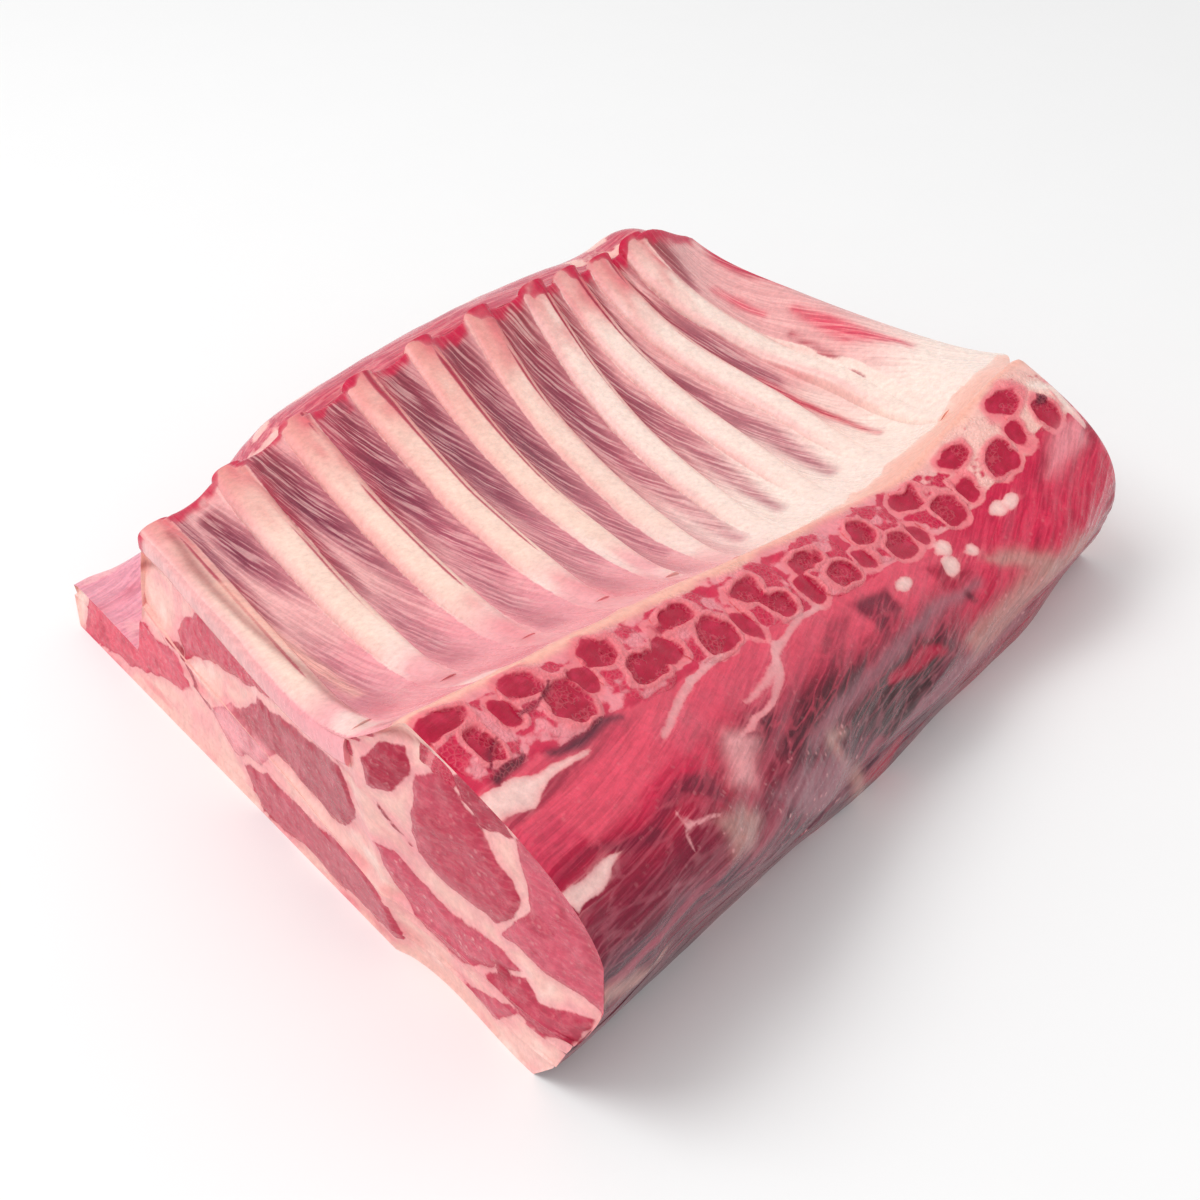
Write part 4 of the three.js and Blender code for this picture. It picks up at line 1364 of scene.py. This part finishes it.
@dataclass
class Layer:
    """A layer under the loin that runs from the sawn side to the outer rim, as one closed ring.

    The lower curve and the upper curve of each section have the same number of points, and
    lines ruled between them close the cut ends.
    """

    rack: Rack
    anatomy: Anatomy
    rows: int = 150
    columns: int = 110
    cut_rows: int = 10

    def lower(self, q: Array) -> Array:
        """(rows, knots, 2) of the under side, from the sawn side to the rim."""
        raise NotImplementedError

    def upper(self, q: Array) -> Array:
        """(rows, knots, 2) of the upper side, between the same ends."""
        raise NotImplementedError

    def dress(self, q: Array, y: Array, z: Array) -> Paint:
        """Painting of its skin."""
        raise NotImplementedError

    def level(self, q: Array, y: Array, name: str) -> Array:
        """(..., 2) of y and the height there of one of the rack's levels."""
        return np.stack([y, getattr(self.rack, name)(self.rack.share_at(q, y), y)], -1)

    def side_paint(self, q: Array, y: Array, z: Array, paint: Paint) -> Array:
        """The sawn side's painting where a layer's edge shows there, and its own elsewhere."""
        s = self.rack.share(q)
        medial = self.anatomy.medial(q, self.rack.slope_length(s, z)).stacked()
        here = ease(self.rack.medial_y(s, z) - y, -7.0, -4.0)[..., None]
        return mix(paint.stacked(), medial, here)

    def make(self, name: str, node: str, material: bpy.types.Material,
             lump: float) -> bpy.types.Object:
        """Makes the closed ring.

        Args:
            name: of the piece.
            node: CAD node that it stands for.
            material: its finish.
            lump: height of its uneven relief.

        Returns:
            The piece.
        """
        rack, shell = self.rack, Shell(name)
        q = np.linspace(rack.near, rack.far, self.rows)
        low = resample(self.lower(q[:, None]), self.columns)
        high = resample(self.upper(q[:, None]), self.columns)
        ring = np.concatenate([low, high[:, -2:0:-1]], 1)
        y, z = ring[..., 0], ring[..., 1]
        grid_q = np.broadcast_to(q[:, None], y.shape)
        place = np.stack([rack.station_x(grid_q, y, z), y, z], -1)
        ends = np.minimum(q - rack.near, rack.far - q)[:, None] * rack.pitch
        spot = place * np.array([0.6, 1.0, 1.0])
        rise = lump * rough_noise(spot, 13.0, 91) * ease(ends, 0.0, 3.0)
        wrapped = np.concatenate([place[:, -2:], place, place[:, :2]], 1)
        normal = surface_normals(wrapped)[:, 2:-2]
        place = place - normal * rise[..., None]
        place[..., 2] = np.maximum(place[..., 2], 0.0)
        ids = shell.add(place)
        count = self.columns
        look = self.side_paint(grid_q, y, z, self.dress(grid_q, y, z))
        shell.grid(ids, look, flip=True, wrap=True)
        back = np.concatenate([[0], np.arange(ring.shape[1] - 1, count - 1, -1), [count - 1]])
        for end, paint, flip, inwards in self.anatomy.cuts():
            face = ruled_face(rack, q[end], place[end, :count], place[end, back], self.cut_rows)
            cut = paint(face[..., 1], face[..., 2])
            sink = 0.6 * ease(-cut.lean, -2.5, 0.8)
            sink[[0, -1]] = 0.0
            face[..., 0] += inwards * sink
            numbers = face_numbers(shell, face, ids[end, :count], ids[end, back])
            shell.grid(numbers, cut.stacked(), flip=flip)
        return shell.finish(material, name, [node], crease=60.0)


@dataclass
class FatSeam(Layer):
    """The pale seam between the loin and the outer muscle."""

    rows: int = 120
    columns: int = 90
    cut_rows: int = 8

    def lower(self, q: Array) -> Array:
        """Follows the outer muscle's upper level."""
        rack = self.rack
        t = np.linspace(0.0, 1.0, 60)[None]
        y = mix(rack.foot_y(rack.share(q), "muscle_top"), rack.layer_edge, t)
        return self.level(q, y, "muscle_top")

    def upper(self, q: Array) -> Array:
        """Up the sawn side, then along the loin's underside, and down at the tips."""
        rack, s = self.rack, self.rack.share(q)
        t = np.linspace(0.0, 1.0, 60)[None]
        y = mix(rack.foot_y(s, "seam_top"), rack.layer_edge, t)
        return np.concatenate([
            self.level(q, rack.foot_y(s, "muscle_top"), "muscle_top"),
            self.level(q, y, "seam_top"),
            self.level(q, y[:, -1:], "muscle_top"),
        ], 1)

    def dress(self, q: Array, y: Array, z: Array) -> Paint:
        """Plain seam fat, which shows only at the cuts."""
        return Paint(q, Hue.FAT)


@dataclass
class OuterMuscle(Layer):
    """Outer muscle under the seam, which wraps round the rib tips and ends in the shelf."""

    rows: int = 190
    columns: int = 150
    cut_rows: int = 16
    rim_inset: float = 4.0
    lip: float = 2.0

    def rim(self, q: Array) -> tuple[Array, Array, Array]:
        """The wall of the tips, the share of the length there, and the shelf's outer edge."""
        wall = np.full_like(q, self.rack.wall_y)
        outer = self.rack.share_at(q, wall)
        return wall, outer, wall + self.rack.shelf_reach(outer)

    def lower(self, q: Array) -> Array:
        """Follows the fat cap's upper level, then turns up at the rim."""
        rack, (_, outer, rim) = self.rack, self.rim(q)
        t = np.linspace(0.0, 1.0, 80)[None]
        y = mix(rack.foot_y(rack.share(q), "fat_top"), rim - self.rim_inset, t)
        corner = np.stack([rim, rack.fat_top(outer, rim) + self.lip], -1)
        return np.concatenate([self.level(q, y, "fat_top"), corner], 1)

    def upper(self, q: Array) -> Array:
        """Up the sawn side, under the seam, up the wall of the tips and down over the shelf."""
        rack, s = self.rack, self.rack.share(q)
        wall, outer, rim = self.rim(q)
        y = mix(rack.foot_y(s, "muscle_top"), rack.layer_edge, np.linspace(0.0, 1.0, 60)[None])
        corner = np.stack([wall, rack.muscle_top(outer, wall)], -1)
        angle = 0.5 * np.pi * np.linspace(0.0, 1.0, 24)[None]
        low = rack.fat_top(outer, rim) + self.lip
        over_y = mix(wall, rim, np.sin(angle) ** 0.75)
        over_z = mix(low, rack.shelf_z(outer), np.cos(angle) ** 0.75)
        over = np.stack([over_y, over_z], -1)
        return np.concatenate([
            self.level(q, rack.foot_y(s, "fat_top"), "fat_top"),
            self.level(q, y, "muscle_top"), corner, over,
        ], 1)

    def dress(self, q: Array, y: Array, z: Array) -> Paint:
        """The shelf's membrane, which also runs on under the hidden parts."""
        return self.anatomy.shelf(q, y, z)


@dataclass
class FatCap(Layer):
    """The outer fat that everything lies on: a flat foot, a rounded rim and a lifted edge."""

    rows: int = 170
    columns: int = 150
    cut_rows: int = 12

    def ends(self, q: Array) -> tuple[Array, Array, Array]:
        """Where the foot starts, the rim, and how far the rim is rounded."""
        rack, s = self.rack, self.rack.share(q)
        outer = rack.share_at(q, np.full_like(q, rack.tip_y))
        inset = mix(6.0, 3.0, ease(outer, 0.0, 0.1))
        start = rack.medial_y(s, np.zeros_like(s)) + inset
        return start, rack.wall_y + rack.shelf_reach(outer), inset

    def lip(self, q: Array, rim: Array) -> Array:
        """The outermost point, just under the outer muscle."""
        outer = self.rack.share_at(q, np.full_like(q, self.rack.tip_y))
        return np.stack([rim - 1.0, self.rack.fat_top(outer, rim - 1.0) - 0.3], -1)

    def lower(self, q: Array) -> Array:
        """The foot and the lifted outer edge, up to the lip."""
        start, rim, inset = self.ends(q)
        y = mix(start, rim - inset, np.linspace(0.0, 1.0, 80)[None])
        return np.concatenate([self.level(q, y, "floor_z"), self.lip(q, rim)], 1)

    def upper(self, q: Array) -> Array:
        """Up the sawn side and along under the outer muscle, out to the lip."""
        rack = self.rack
        start, rim, _ = self.ends(q)
        y = mix(rack.foot_y(rack.share(q), "fat_top"), rim - 4.0, np.linspace(0.0, 1.0, 80)[None])
        first = self.level(q, start, "floor_z")
        return np.concatenate([first, self.level(q, y, "fat_top"), self.lip(q, rim)], 1)

    def dress(self, q: Array, y: Array, z: Array) -> Paint:
        """Outer fat on both sides."""
        return self.anatomy.outside(q, y, z)


# Bones ----------------------------------------------------------------------------------------


@dataclass
class Ribs:
    """Flat rib bones under their thin lining, from near the spine to the sawn tips."""

    rack: Rack
    anatomy: Anatomy
    rows: int = 200
    around: int = 72
    tip_rings: int = 9

    def build(self, k: int, material: bpy.types.Material) -> bpy.types.Object:
        """Makes rib k: rounded outlines carried along the chest, with a flat sawn tip.

        Args:
            k: number of the rib from 0.
            material: its finish.

        Returns:
            The piece.
        """
        rack, shell = self.rack, Shell(f"rib_bone_{k + 1:02d}")
        y = np.linspace(rack.rib_start, rack.tip_y - 0.1, self.rows)[:, None]
        station = np.full_like(y, float(k))
        s = rack.share_at(station, y)
        z = rack.top(s, y)
        x = rack.station_x(station, y, z)
        steep = np.hypot(1.0, (rack.top(s, y + 1) - rack.top(s, y - 1)) / 2)
        line = np.concatenate([x, y * 0.5, np.full_like(y, 17.0 * k)], 1)
        half = rack.rib_width / 2 * mix(0.86, 1.0, ease(y, 20, 70))
        half = half * (1.0 + 0.04 * lattice_noise(line, 14.0, 101)[:, None])
        depth = rack.rib_depth / 2 * mix(1.1, 0.95, ease(y, 20, 120)) * steep
        sway = 0.35 * lattice_noise(line, 18.0, 102)[:, None]
        sunk = 1.1 * ease(-y, -52, -20) * (1 if k < 5 else 1.3) + 1.2 * ease(y, 118, 136)
        middle = z + (rack.rib_proud - sunk) * steep - depth
        angle = 2 * np.pi * (np.arange(self.around) + 0.5)[None] / self.around
        across = half * squared(np.cos(angle), 0.8)
        up = depth * squared(np.sin(angle), 0.55)
        place = np.stack([x + sway + across, np.broadcast_to(y, across.shape), middle + up], -1)
        ids = shell.add(place)
        spread = rack.fanned(station, y) + across / rack.pitch
        look = self.anatomy.chest(spread, place[..., 1]).stacked()
        shell.grid(ids, look, flip=False, wrap=True)
        self.buried_end(shell, place[0], ids[0], look[0])
        self.sawn_tip(shell, place[-1], ids[-1])
        return shell.finish(material, "bone", [f"rib_{k + 1:02d}"], crease=40.0)

    def buried_end(self, shell: Shell, ring: Array, ids: Array, look: Array) -> None:
        """Closes the end in the muscle with a fan."""
        middle = shell.add(ring.mean(0)[None])
        pole = np.full_like(ids, middle[0])
        shell.grid(np.stack([pole, ids]), np.stack([look, look]), wrap=True)

    def sawn_tip(self, shell: Shell, ring: Array, ids: Array) -> None:
        """Closes the tip with rings that show a pale rim and the spongy marrow inside it."""
        share = np.linspace(1.0, 0.0, self.tip_rings + 1)[1:, None]
        centre = ring.mean(0)
        rings = centre + (ring[None] - centre) * share[..., None]
        inner = shell.add(rings[:-1])
        pole = np.full(len(ids), shell.add(centre[None])[0])
        numbers = np.concatenate([ids[None], inner, pole[None]])
        reach = np.broadcast_to(np.concatenate([[[1.0]], share]), numbers.shape)
        paint = Paint(reach, Hue.RIB)
        paint.tint_pale(ease(-reach, -0.95, -0.6), Hue.BONE_SAWN)
        paint.muscle((0.66 - reach) * 4.0, Hue.MARROW)
        spots = np.concatenate([ring[None], rings])
        paint.grain = spots.copy()
        shell.grid(numbers, paint.stacked(), wrap=True)


@dataclass
class Vertebrae:
    """Halves of the vertebrae, sawn down the middle: spongy marrow inside pale rims."""

    rack: Rack
    anatomy: Anatomy
    rings: int = 40
    around: int = 112

    def build(self, k: int, material: bpy.types.Material) -> bpy.types.Object:
        """Makes vertebra k: a rounded block let into the sawn side.

        Its front is a disc of rings laid over the sawn side, a little proud of it, with the
        marrow sunk and the rim raised. Its sides go in to the block's depth.

        Args:
            k: number of the vertebra from 0.
            material: its finish.

        Returns:
            The piece.
        """
        rack, shell = self.rack, Shell(f"sawn_vertebra_{k + 1:02d}")
        s = rack.share(k)
        y_mid, z_mid = rack.below_chine(np.array(s), np.array(0.5 * (1 + rack.bone_lower)))
        root = rack.station_x(np.array(float(k)), np.array(rack.spine_y), z_mid)
        end = root + rack.bone_shift + rack.bone_length / 2
        start = max(end - rack.bone_length, rack.station_x(np.array(rack.near), y_mid, z_mid))
        half = (end - start) / 2
        tall = (rack.bone_lower - 1) / 2
        angle = 2 * np.pi * np.arange(self.around)[None] / self.around
        outline_x, outline_d = squared(np.cos(angle), 0.7), squared(np.sin(angle), 0.7)
        share = (np.linspace(0.0, 1.0, self.rings + 1)[1:] ** 0.8)[:, None]
        x = (start + end) / 2 + half * 0.97 * share * outline_x
        d = 0.5 * (1 + rack.bone_lower) + tall * share * outline_d
        y, z = rack.below_chine(np.full_like(d, s), np.maximum(d, 0.6))
        q = rack.station_at(x, y, z)
        y, z = rack.below_chine(rack.share(q), np.maximum(d, 0.6))
        place = np.stack([x, y, z], -1)
        slope_y, slope_z = rack.below_chine(rack.share(q), np.maximum(d, 0.6) + 1.0)
        out = np.stack([np.zeros_like(x), slope_z - z, y - slope_y], -1)
        out /= np.linalg.norm(out, axis=-1, keepdims=True)
        marrow = self.anatomy.marrow(q, d)
        proud = rack.bone_proud * (1.0 - share**6) - 0.3 * share**6
        rise = proud + 0.45 * knob((marrow + 0.7) / 0.8)
        rise = rise - 0.75 * ease(marrow, -0.2, 0.9)
        rise = rise + 0.25 * rough_noise(place, 2.4, 111) * ease(-share, -1.0, -0.9)
        front = place + out * rise[..., None]
        look = self.anatomy.medial(q, d).stacked()
        centre = front[0].mean(0)
        pole = np.full(self.around, shell.add(centre[None])[0])
        ids = np.concatenate([pole[None], shell.add(front)])
        shell.grid(ids, np.concatenate([look[:1], look]), flip=True, wrap=True)
        self.sides(shell, front[-1], ids[-1], look[-1], out[-1])
        return shell.finish(material, "sawn_bone", [f"vertebra_{k + 1:02d}"], crease=50.0)

    def sides(self, shell: Shell, rim: Array, ids: Array, look: Array, out: Array) -> None:
        """Carries the rim in to the block's back, and closes it with a fan."""
        inward = -out.mean(0) / np.linalg.norm(out.mean(0))
        middle = rim.mean(0)
        rings = [
            middle + (rim - middle) * size + inward * depth
            for depth, size in ((2.0, 0.99), (7.0, 0.94), (self.rack.bone_depth, 0.62))
        ]
        back = shell.add(np.array(rings))
        pole = np.full(len(ids), shell.add((rings[-1].mean(0))[None])[0])
        numbers = np.concatenate([ids[None], back, pole[None]])
        looks = np.broadcast_to(look, (len(numbers),) + look.shape)
        shell.grid(numbers, looks, flip=True, wrap=True)


# Finishes -------------------------------------------------------------------------------------


def add_node(tree: bpy.types.NodeTree, kind: str, settings: dict | None = None,
             links: dict | None = None) -> bpy.types.Node:
    """Adds a shader node.

    Args:
        tree: node tree of the material.
        kind: type of the node.
        settings: its properties.
        links: for each input, by name or number, a value or the output that feeds it.

    Returns:
        The node.
    """
    node = tree.nodes.new(kind)
    for name, value in (settings or {}).items():
        setattr(node, name, value)
    for name, value in (links or {}).items():
        if isinstance(value, Socket):
            tree.links.new(value, node.inputs[name])
        else:
            node.inputs[name].default_value = value
    return node


def number(tree: bpy.types.NodeTree, operation: str, *values: Socket | float) -> Socket:
    """Arithmetic on its values in turn."""
    links = dict(enumerate(values))
    return add_node(tree, "ShaderNodeMath", {"operation": operation}, links).outputs[0]


def vector(tree: bpy.types.NodeTree, operation: str, *values: Socket | tuple) -> Socket:
    """Arithmetic on vectors in turn."""
    links = dict(enumerate(values))
    return add_node(tree, "ShaderNodeVectorMath", {"operation": operation}, links).outputs[0]


def shade(tree: bpy.types.NodeTree, colour: Socket, amount: Socket) -> Socket:
    """A colour made lighter or darker by an amount around 1."""
    links = {0: colour, "Scale": amount}
    return add_node(tree, "ShaderNodeVectorMath", {"operation": "SCALE"}, links).outputs[0]


def spread(tree: bpy.types.NodeTree, value: Socket, ends: tuple[float, float],
           out: tuple[float, float] = (0.0, 1.0), smooth: bool = True) -> Socket:
    """Carries one range of values over to another, held at its ends.

    Args:
        tree: node tree.
        value: what is carried over.
        ends: range taken in; the first may be the larger.
        out: range given out.
        smooth: eases in and out.

    Returns:
        The new value.
    """
    settings = {"interpolation_type": "SMOOTHSTEP" if smooth else "LINEAR"}
    return add_node(tree, "ShaderNodeMapRange", settings, {
        "Value": value,
        "From Min": ends[0], "From Max": ends[1], "To Min": out[0], "To Max": out[1],
    }).outputs["Result"]


def noise(tree: bpy.types.NodeTree, place: Socket, scale: float, detail: float,
          roughness: float = 0.5, distortion: float = 0.0, output: str = "Fac") -> Socket:
    """A noise texture's values from about 0 to 1.

    Args:
        tree: node tree.
        place: coordinates.
        scale: cells in one unit of them.
        detail: how many finer copies are added.
        roughness: their strength.
        distortion: how far it is bent.
        output: "Fac" for numbers or "Color" for vectors.

    Returns:
        The values.
    """
    return add_node(tree, "ShaderNodeTexNoise", None, {
        "Vector": place, "Scale": scale, "Detail": detail, "Roughness": roughness,
        "Distortion": distortion,
    }).outputs[output]


def cells(tree: bpy.types.NodeTree, place: Socket, scale: float, feature: str) -> Socket:
    """Distance to the nearest seed ("F1") or wall ("DISTANCE_TO_EDGE") of scattered cells."""
    links = {"Vector": place, "Scale": scale}
    return add_node(tree, "ShaderNodeTexVoronoi", {"feature": feature}, links).outputs["Distance"]


def blend(tree: bpy.types.NodeTree, share: Socket, first: Socket, second: Socket | Hue) -> Socket:
    """A colour that goes from the first to the second with its share."""
    second = (*second.rgb, 1.0) if isinstance(second, Hue) else second
    links = {0: share, 6: first, 7: second}
    return add_node(tree, "ShaderNodeMix", {"data_type": "RGBA"}, links).outputs[2]


@dataclass(frozen=True)
class RawLamb:
    """Raw lamb, cut and moist: fibrous lean with a film of juice, and waxy fat.

    To the eye lean is streaked along its fibres and glossy, fat is smooth, paler and duller,
    and the border between them is finely ragged but sharp.

    Attributes:
        name: of the material.
        ragged: millimetres by which the border of lean and fat wanders.
        ragged_size: size of that wandering.
        fibre: spacing of the lean's fibres; real ones are 0.05 mm, drawn coarser to show.
        bundle: width of the bundles of fibres that pale lines part.
        sponge: strength of the pores of sawn bone, or 0.
        pore: width of those pores.
        crumb_glint_spacing: spacing of crumbs of fat and bone on the lean, partly painted glints.
        rough_lean: roughness of the lean.
        rough_fat: roughness of the fat.
        film: strength of the film of juice where it is wettest.
    """

    name: str
    ragged: float = 0.6
    ragged_size: float = 2.6
    fibre: float = 1.1
    bundle: float = 4.0
    sponge: float = 0.0
    pore: float = 1.3
    crumb_glint_spacing: float = 2.4
    rough_lean: float = 0.34
    rough_fat: float = 0.46
    film: float = 0.28

    def build(self) -> bpy.types.Material:
        """Makes the material.

        Returns:
            The material.
        """
        material = bpy.data.materials.new(self.name)
        material.use_nodes = True
        tree = material.node_tree
        tree.nodes.clear()
        read = {}
        for name, channel in LOOK_CHANNELS.items():
            node = add_node(tree, "ShaderNodeAttribute", {"attribute_name": name})
            read[name] = node.outputs[channel.output]
        place = add_node(tree, "ShaderNodeTexCoord").outputs["Object"]
        wander = noise(tree, place, PER_MM / self.ragged_size, 3.0, 0.62)
        offset = number(tree, "MULTIPLY_ADD", wander, 2.0 * self.ragged, -self.ragged)
        lean = spread(tree, number(tree, "ADD", read["lean"], offset), (-0.3, 0.35))
        along_fibres = (0.055 / self.fibre, 1 / self.fibre, 1 / self.fibre)
        stretched = vector(tree, "MULTIPLY", read["grain"], along_fibres)
        fibres = noise(tree, stretched, 1.0, 3.0, 0.55, 0.2)
        # Cells of the pale crumbs, which also serve as painted glints.
        crumb_glint_cells = cells(tree, place, PER_MM / self.crumb_glint_spacing, "F1")
        pores = cells(tree, place, PER_MM / self.pore, "DISTANCE_TO_EDGE")
        lean_colour = self.lean_colour(tree, read, fibres, crumb_glint_cells, wander)
        colour = blend(tree, lean, self.fat_colour(tree, read, place), lean_colour)
        if self.sponge:
            wall = spread(tree, pores, (0.16, 0.02), (0.0, self.sponge))
            colour = blend(tree, number(tree, "MULTIPLY", wall, lean), colour, Hue.BONE_SAWN)
        fine = noise(tree, place, PER_MM / 1.6, 4.0, 0.7)
        colour = shade(tree, colour, spread(tree, fine, (0.3, 0.7), (0.86, 1.1), smooth=False))
        rough = spread(tree, lean, (0.0, 1.0), (self.rough_fat, self.rough_lean), smooth=False)
        shader = add_node(tree, "ShaderNodeBsdfPrincipled", None, {
            "Base Color": colour, "Roughness": number(tree, "MULTIPLY_ADD", wander, -0.18, rough),
            "IOR": 1.4, "Specular IOR Level": 0.35,
            "Coat Weight": number(tree, "MULTIPLY", read["wet"], self.film),
            "Coat Roughness": 0.14, "Coat IOR": 1.33, "Subsurface Weight": 0.1,
            "Subsurface Radius": (1.0, 0.35, 0.25), "Subsurface Scale": 0.002,
            "Normal": self.relief(tree, read, place, fibres, lean, crumb_glint_cells, pores),
        })
        add_node(tree, "ShaderNodeOutputMaterial", None, {"Surface": shader.outputs[0]})
        return material

    def lean_colour(self, tree: bpy.types.NodeTree, read: dict[str, Socket], fibres: Socket,
                    crumb_glint_cells: Socket, wander: Socket) -> Socket:
        """Lean: its tint, streaked by its fibres, with pale lines between bundles and pale crumbs,
        partly painted glints.
        """
        streak, pale = read["streak"], read["pale"]
        swing = spread(tree, fibres, (0.38, 0.6), (-0.26, 0.14))
        colour = shade(tree, read["meat"], number(tree, "MULTIPLY_ADD", swing, streak, 1.0))
        thread = spread(tree, fibres, (0.47, 0.64), (0.0, 0.42))
        colour = blend(tree, number(tree, "MULTIPLY", thread, streak), colour, pale)
        along_bundles = (0.2 / self.bundle, 1 / self.bundle, 1 / self.bundle)
        cell = vector(tree, "MULTIPLY", read["grain"], along_bundles)
        shake = noise(tree, cell, 1.3, 2.0, output="Color")
        seams = cells(tree, vector(tree, "MULTIPLY_ADD", shake, (0.9, 0.9, 0.9), cell), 1.0,
                      "DISTANCE_TO_EDGE")
        seam = spread(tree, seams, (0.11, 0.02))
        colour = blend(tree, number(tree, "MULTIPLY", seam, read["web"]), colour, pale)
        # Pale dots where the crumb channel is strong: crumbs of fat and bone, and painted glints.
        crumb_glint_dots = spread(tree, crumb_glint_cells, (0.34, 0.12), (0.0, 0.75))
        crumb_glint_dots = number(tree, "MULTIPLY", crumb_glint_dots, spread(tree, wander, (0.46, 0.6)))
        return blend(tree, number(tree, "MULTIPLY", crumb_glint_dots, read["crumb_glint"]), colour, Hue.TENDON)

    def fat_colour(self, tree: bpy.types.NodeTree, read: dict[str, Socket],
                   place: Socket) -> Socket:
        """Fat: its tint with soft blotches, and a flush of blood in its finest vessels."""
        blotch = noise(tree, place, PER_MM / 7.0, 4.0, 0.65)
        light = spread(tree, blotch, (0.3, 0.7), (0.94, 1.04), smooth=False)
        vessels = add_node(tree, "ShaderNodeTexNoise", {"noise_type": "RIDGED_MULTIFRACTAL"}, {
            "Vector": place, "Scale": PER_MM / 9.0, "Detail": 3.0,
        }).outputs["Fac"]
        flush = spread(tree, vessels, (0.75, 1.3), (0.0, 0.2))
        return blend(tree, flush, shade(tree, read["pale"], light), Hue.CORAL)

    def relief(self, tree: bpy.types.NodeTree, read: dict[str, Socket], place: Socket,
               fibres: Socket, lean: Socket, crumb_glint_cells: Socket, pores: Socket) -> Socket:
        """Bump: the lean's fibres, the fat's fine wrinkles, and crumbs that stand proud."""
        wrinkle = noise(tree, place, PER_MM / 3.0, 3.0)
        height = add_node(tree, "ShaderNodeMix", None, {0: lean, 2: wrinkle, 3: fibres}).outputs[0]
        lump = number(tree, "MULTIPLY", crumb_glint_cells, read["crumb_glint"])
        height = number(tree, "MULTIPLY_ADD", lump, -1.2, height)
        if self.sponge:
            height = number(tree, "MULTIPLY_ADD", pores, -2.0, height)
        return add_node(tree, "ShaderNodeBump", None, {
            "Strength": 0.5, "Distance": 0.0006, "Height": height,
        }).outputs[0]


# The studio -----------------------------------------------------------------------------------


@dataclass
class Studio:
    """A pale floor, soft light from all round and a camera over the neck end."""

    azimuth: float = -50.1
    elevation: float = 34.0
    distance: float = 600.0
    target: tuple[float, float, float] = (12.86, 9.82, -1.9)
    lens: float = 63.2
    sensor: float = 36.0

    def camera(self) -> None:
        """Places the camera: back from its target by the distance, at its two angles."""
        turn, lift = math.radians(self.azimuth), math.radians(self.elevation)
        level = math.cos(lift)
        back = Vector((math.sin(turn) * level, -math.cos(turn) * level, math.sin(lift)))
        lens = bpy.data.cameras.new("camera")
        lens.lens, lens.sensor_width = self.lens, self.sensor
        lens.clip_start, lens.clip_end = 0.01, 20.0
        camera = bpy.data.objects.new("camera", lens)
        camera.location = (Vector(self.target) + back * self.distance) * MM
        camera.rotation_mode = "QUATERNION"
        camera.rotation_quaternion = (-back).to_track_quat("-Z", "Y")
        bpy.context.collection.objects.link(camera)
        bpy.context.scene.camera = camera

    def floor(self) -> None:
        """A wide white floor: matt painted board, which shows as a soft even ground."""
        material = bpy.data.materials.new("white_painted_board")
        material.use_nodes = True
        tree = material.node_tree
        shader = tree.nodes["Principled BSDF"]
        speckle = noise(tree, add_node(tree, "ShaderNodeTexCoord").outputs["Object"], 30.0, 2.0)
        tone = spread(tree, speckle, (0.0, 1.0), (0.9, 0.91), smooth=False)
        tree.links.new(tone, shader.inputs["Base Color"])
        shader.inputs["Roughness"].default_value = 0.9
        mesh = bpy.data.meshes.new("floor")
        side = 6.0
        mesh.from_pydata([(-side, -side, 0), (side, -side, 0), (side, side, 0), (-side, side, 0)],
                         [], [(0, 1, 2, 3)])
        mesh.materials.append(material)
        floor = bpy.data.objects.new("floor", mesh)
        bpy.context.collection.objects.link(floor)

    def light(self, name: str, place: tuple[float, float, float], size: float,
              power: float) -> None:
        """Adds a square soft light that faces the rack."""
        lamp = bpy.data.lights.new(name, "AREA")
        lamp.shape, lamp.size, lamp.energy = "SQUARE", size, power
        thing = bpy.data.objects.new(name, lamp)
        thing.location = place
        thing.rotation_mode = "QUATERNION"
        thing.rotation_quaternion = (-Vector(place)).to_track_quat("-Z", "Y")
        bpy.context.collection.objects.link(thing)

    def build(self) -> None:
        """Makes the whole studio."""
        self.camera()
        self.floor()
        world = bpy.data.worlds.new("soft_box")
        world.use_nodes = True
        background = world.node_tree.nodes["Background"]
        background.inputs["Color"].default_value = (1.0, 1.0, 1.0, 1.0)
        background.inputs["Strength"].default_value = 0.74
        bpy.context.scene.world = world
        self.light("key", (-0.6, 0.5, 1.3), 0.9, 10.0)
        self.light("fill", (-0.9, -0.9, 0.7), 0.9, 1.6)
        bpy.context.scene.view_settings.view_transform = "Standard"


# Building -------------------------------------------------------------------------------------


def main() -> None:
    """Builds the studio and every piece."""
    logging.basicConfig(level=logging.INFO, format="%(name)s %(message)s")
    Studio().build()
    rack = Rack()
    anatomy = Anatomy(rack)
    cut_meat = RawLamb("raw_lamb_loin").build()
    outer_meat = RawLamb("raw_lamb_flank", fibre=1.3).build()
    seam_fat = RawLamb("seam_fat").build()
    outer_fat = RawLamb(
        "outer_fat_under_its_skin", ragged=2.5, ragged_size=6.0, rough_fat=0.42
    ).build()
    rib_bone = RawLamb("rib_bone_under_lining", ragged=0.25, rough_fat=0.42).build()
    sawn_bone = RawLamb("sawn_bone_and_marrow", ragged=0.4, ragged_size=1.6, sponge=0.22).build()

    Loin(rack, anatomy).build(cut_meat)
    FatSeam(rack, anatomy).make("seam_fat", "fat_seam", seam_fat, 0.2)
    OuterMuscle(rack, anatomy).make("outer_meat", "outer_muscle", outer_meat, 0.9)
    FatCap(rack, anatomy).make("outer_fat", "fat_cap", outer_fat, 0.7)
    for k in range(rack.ribs):
        Ribs(rack, anatomy).build(k, rib_bone)
        Vertebrae(rack, anatomy).build(k, sawn_bone)


if __name__ == "__main__":
    main()
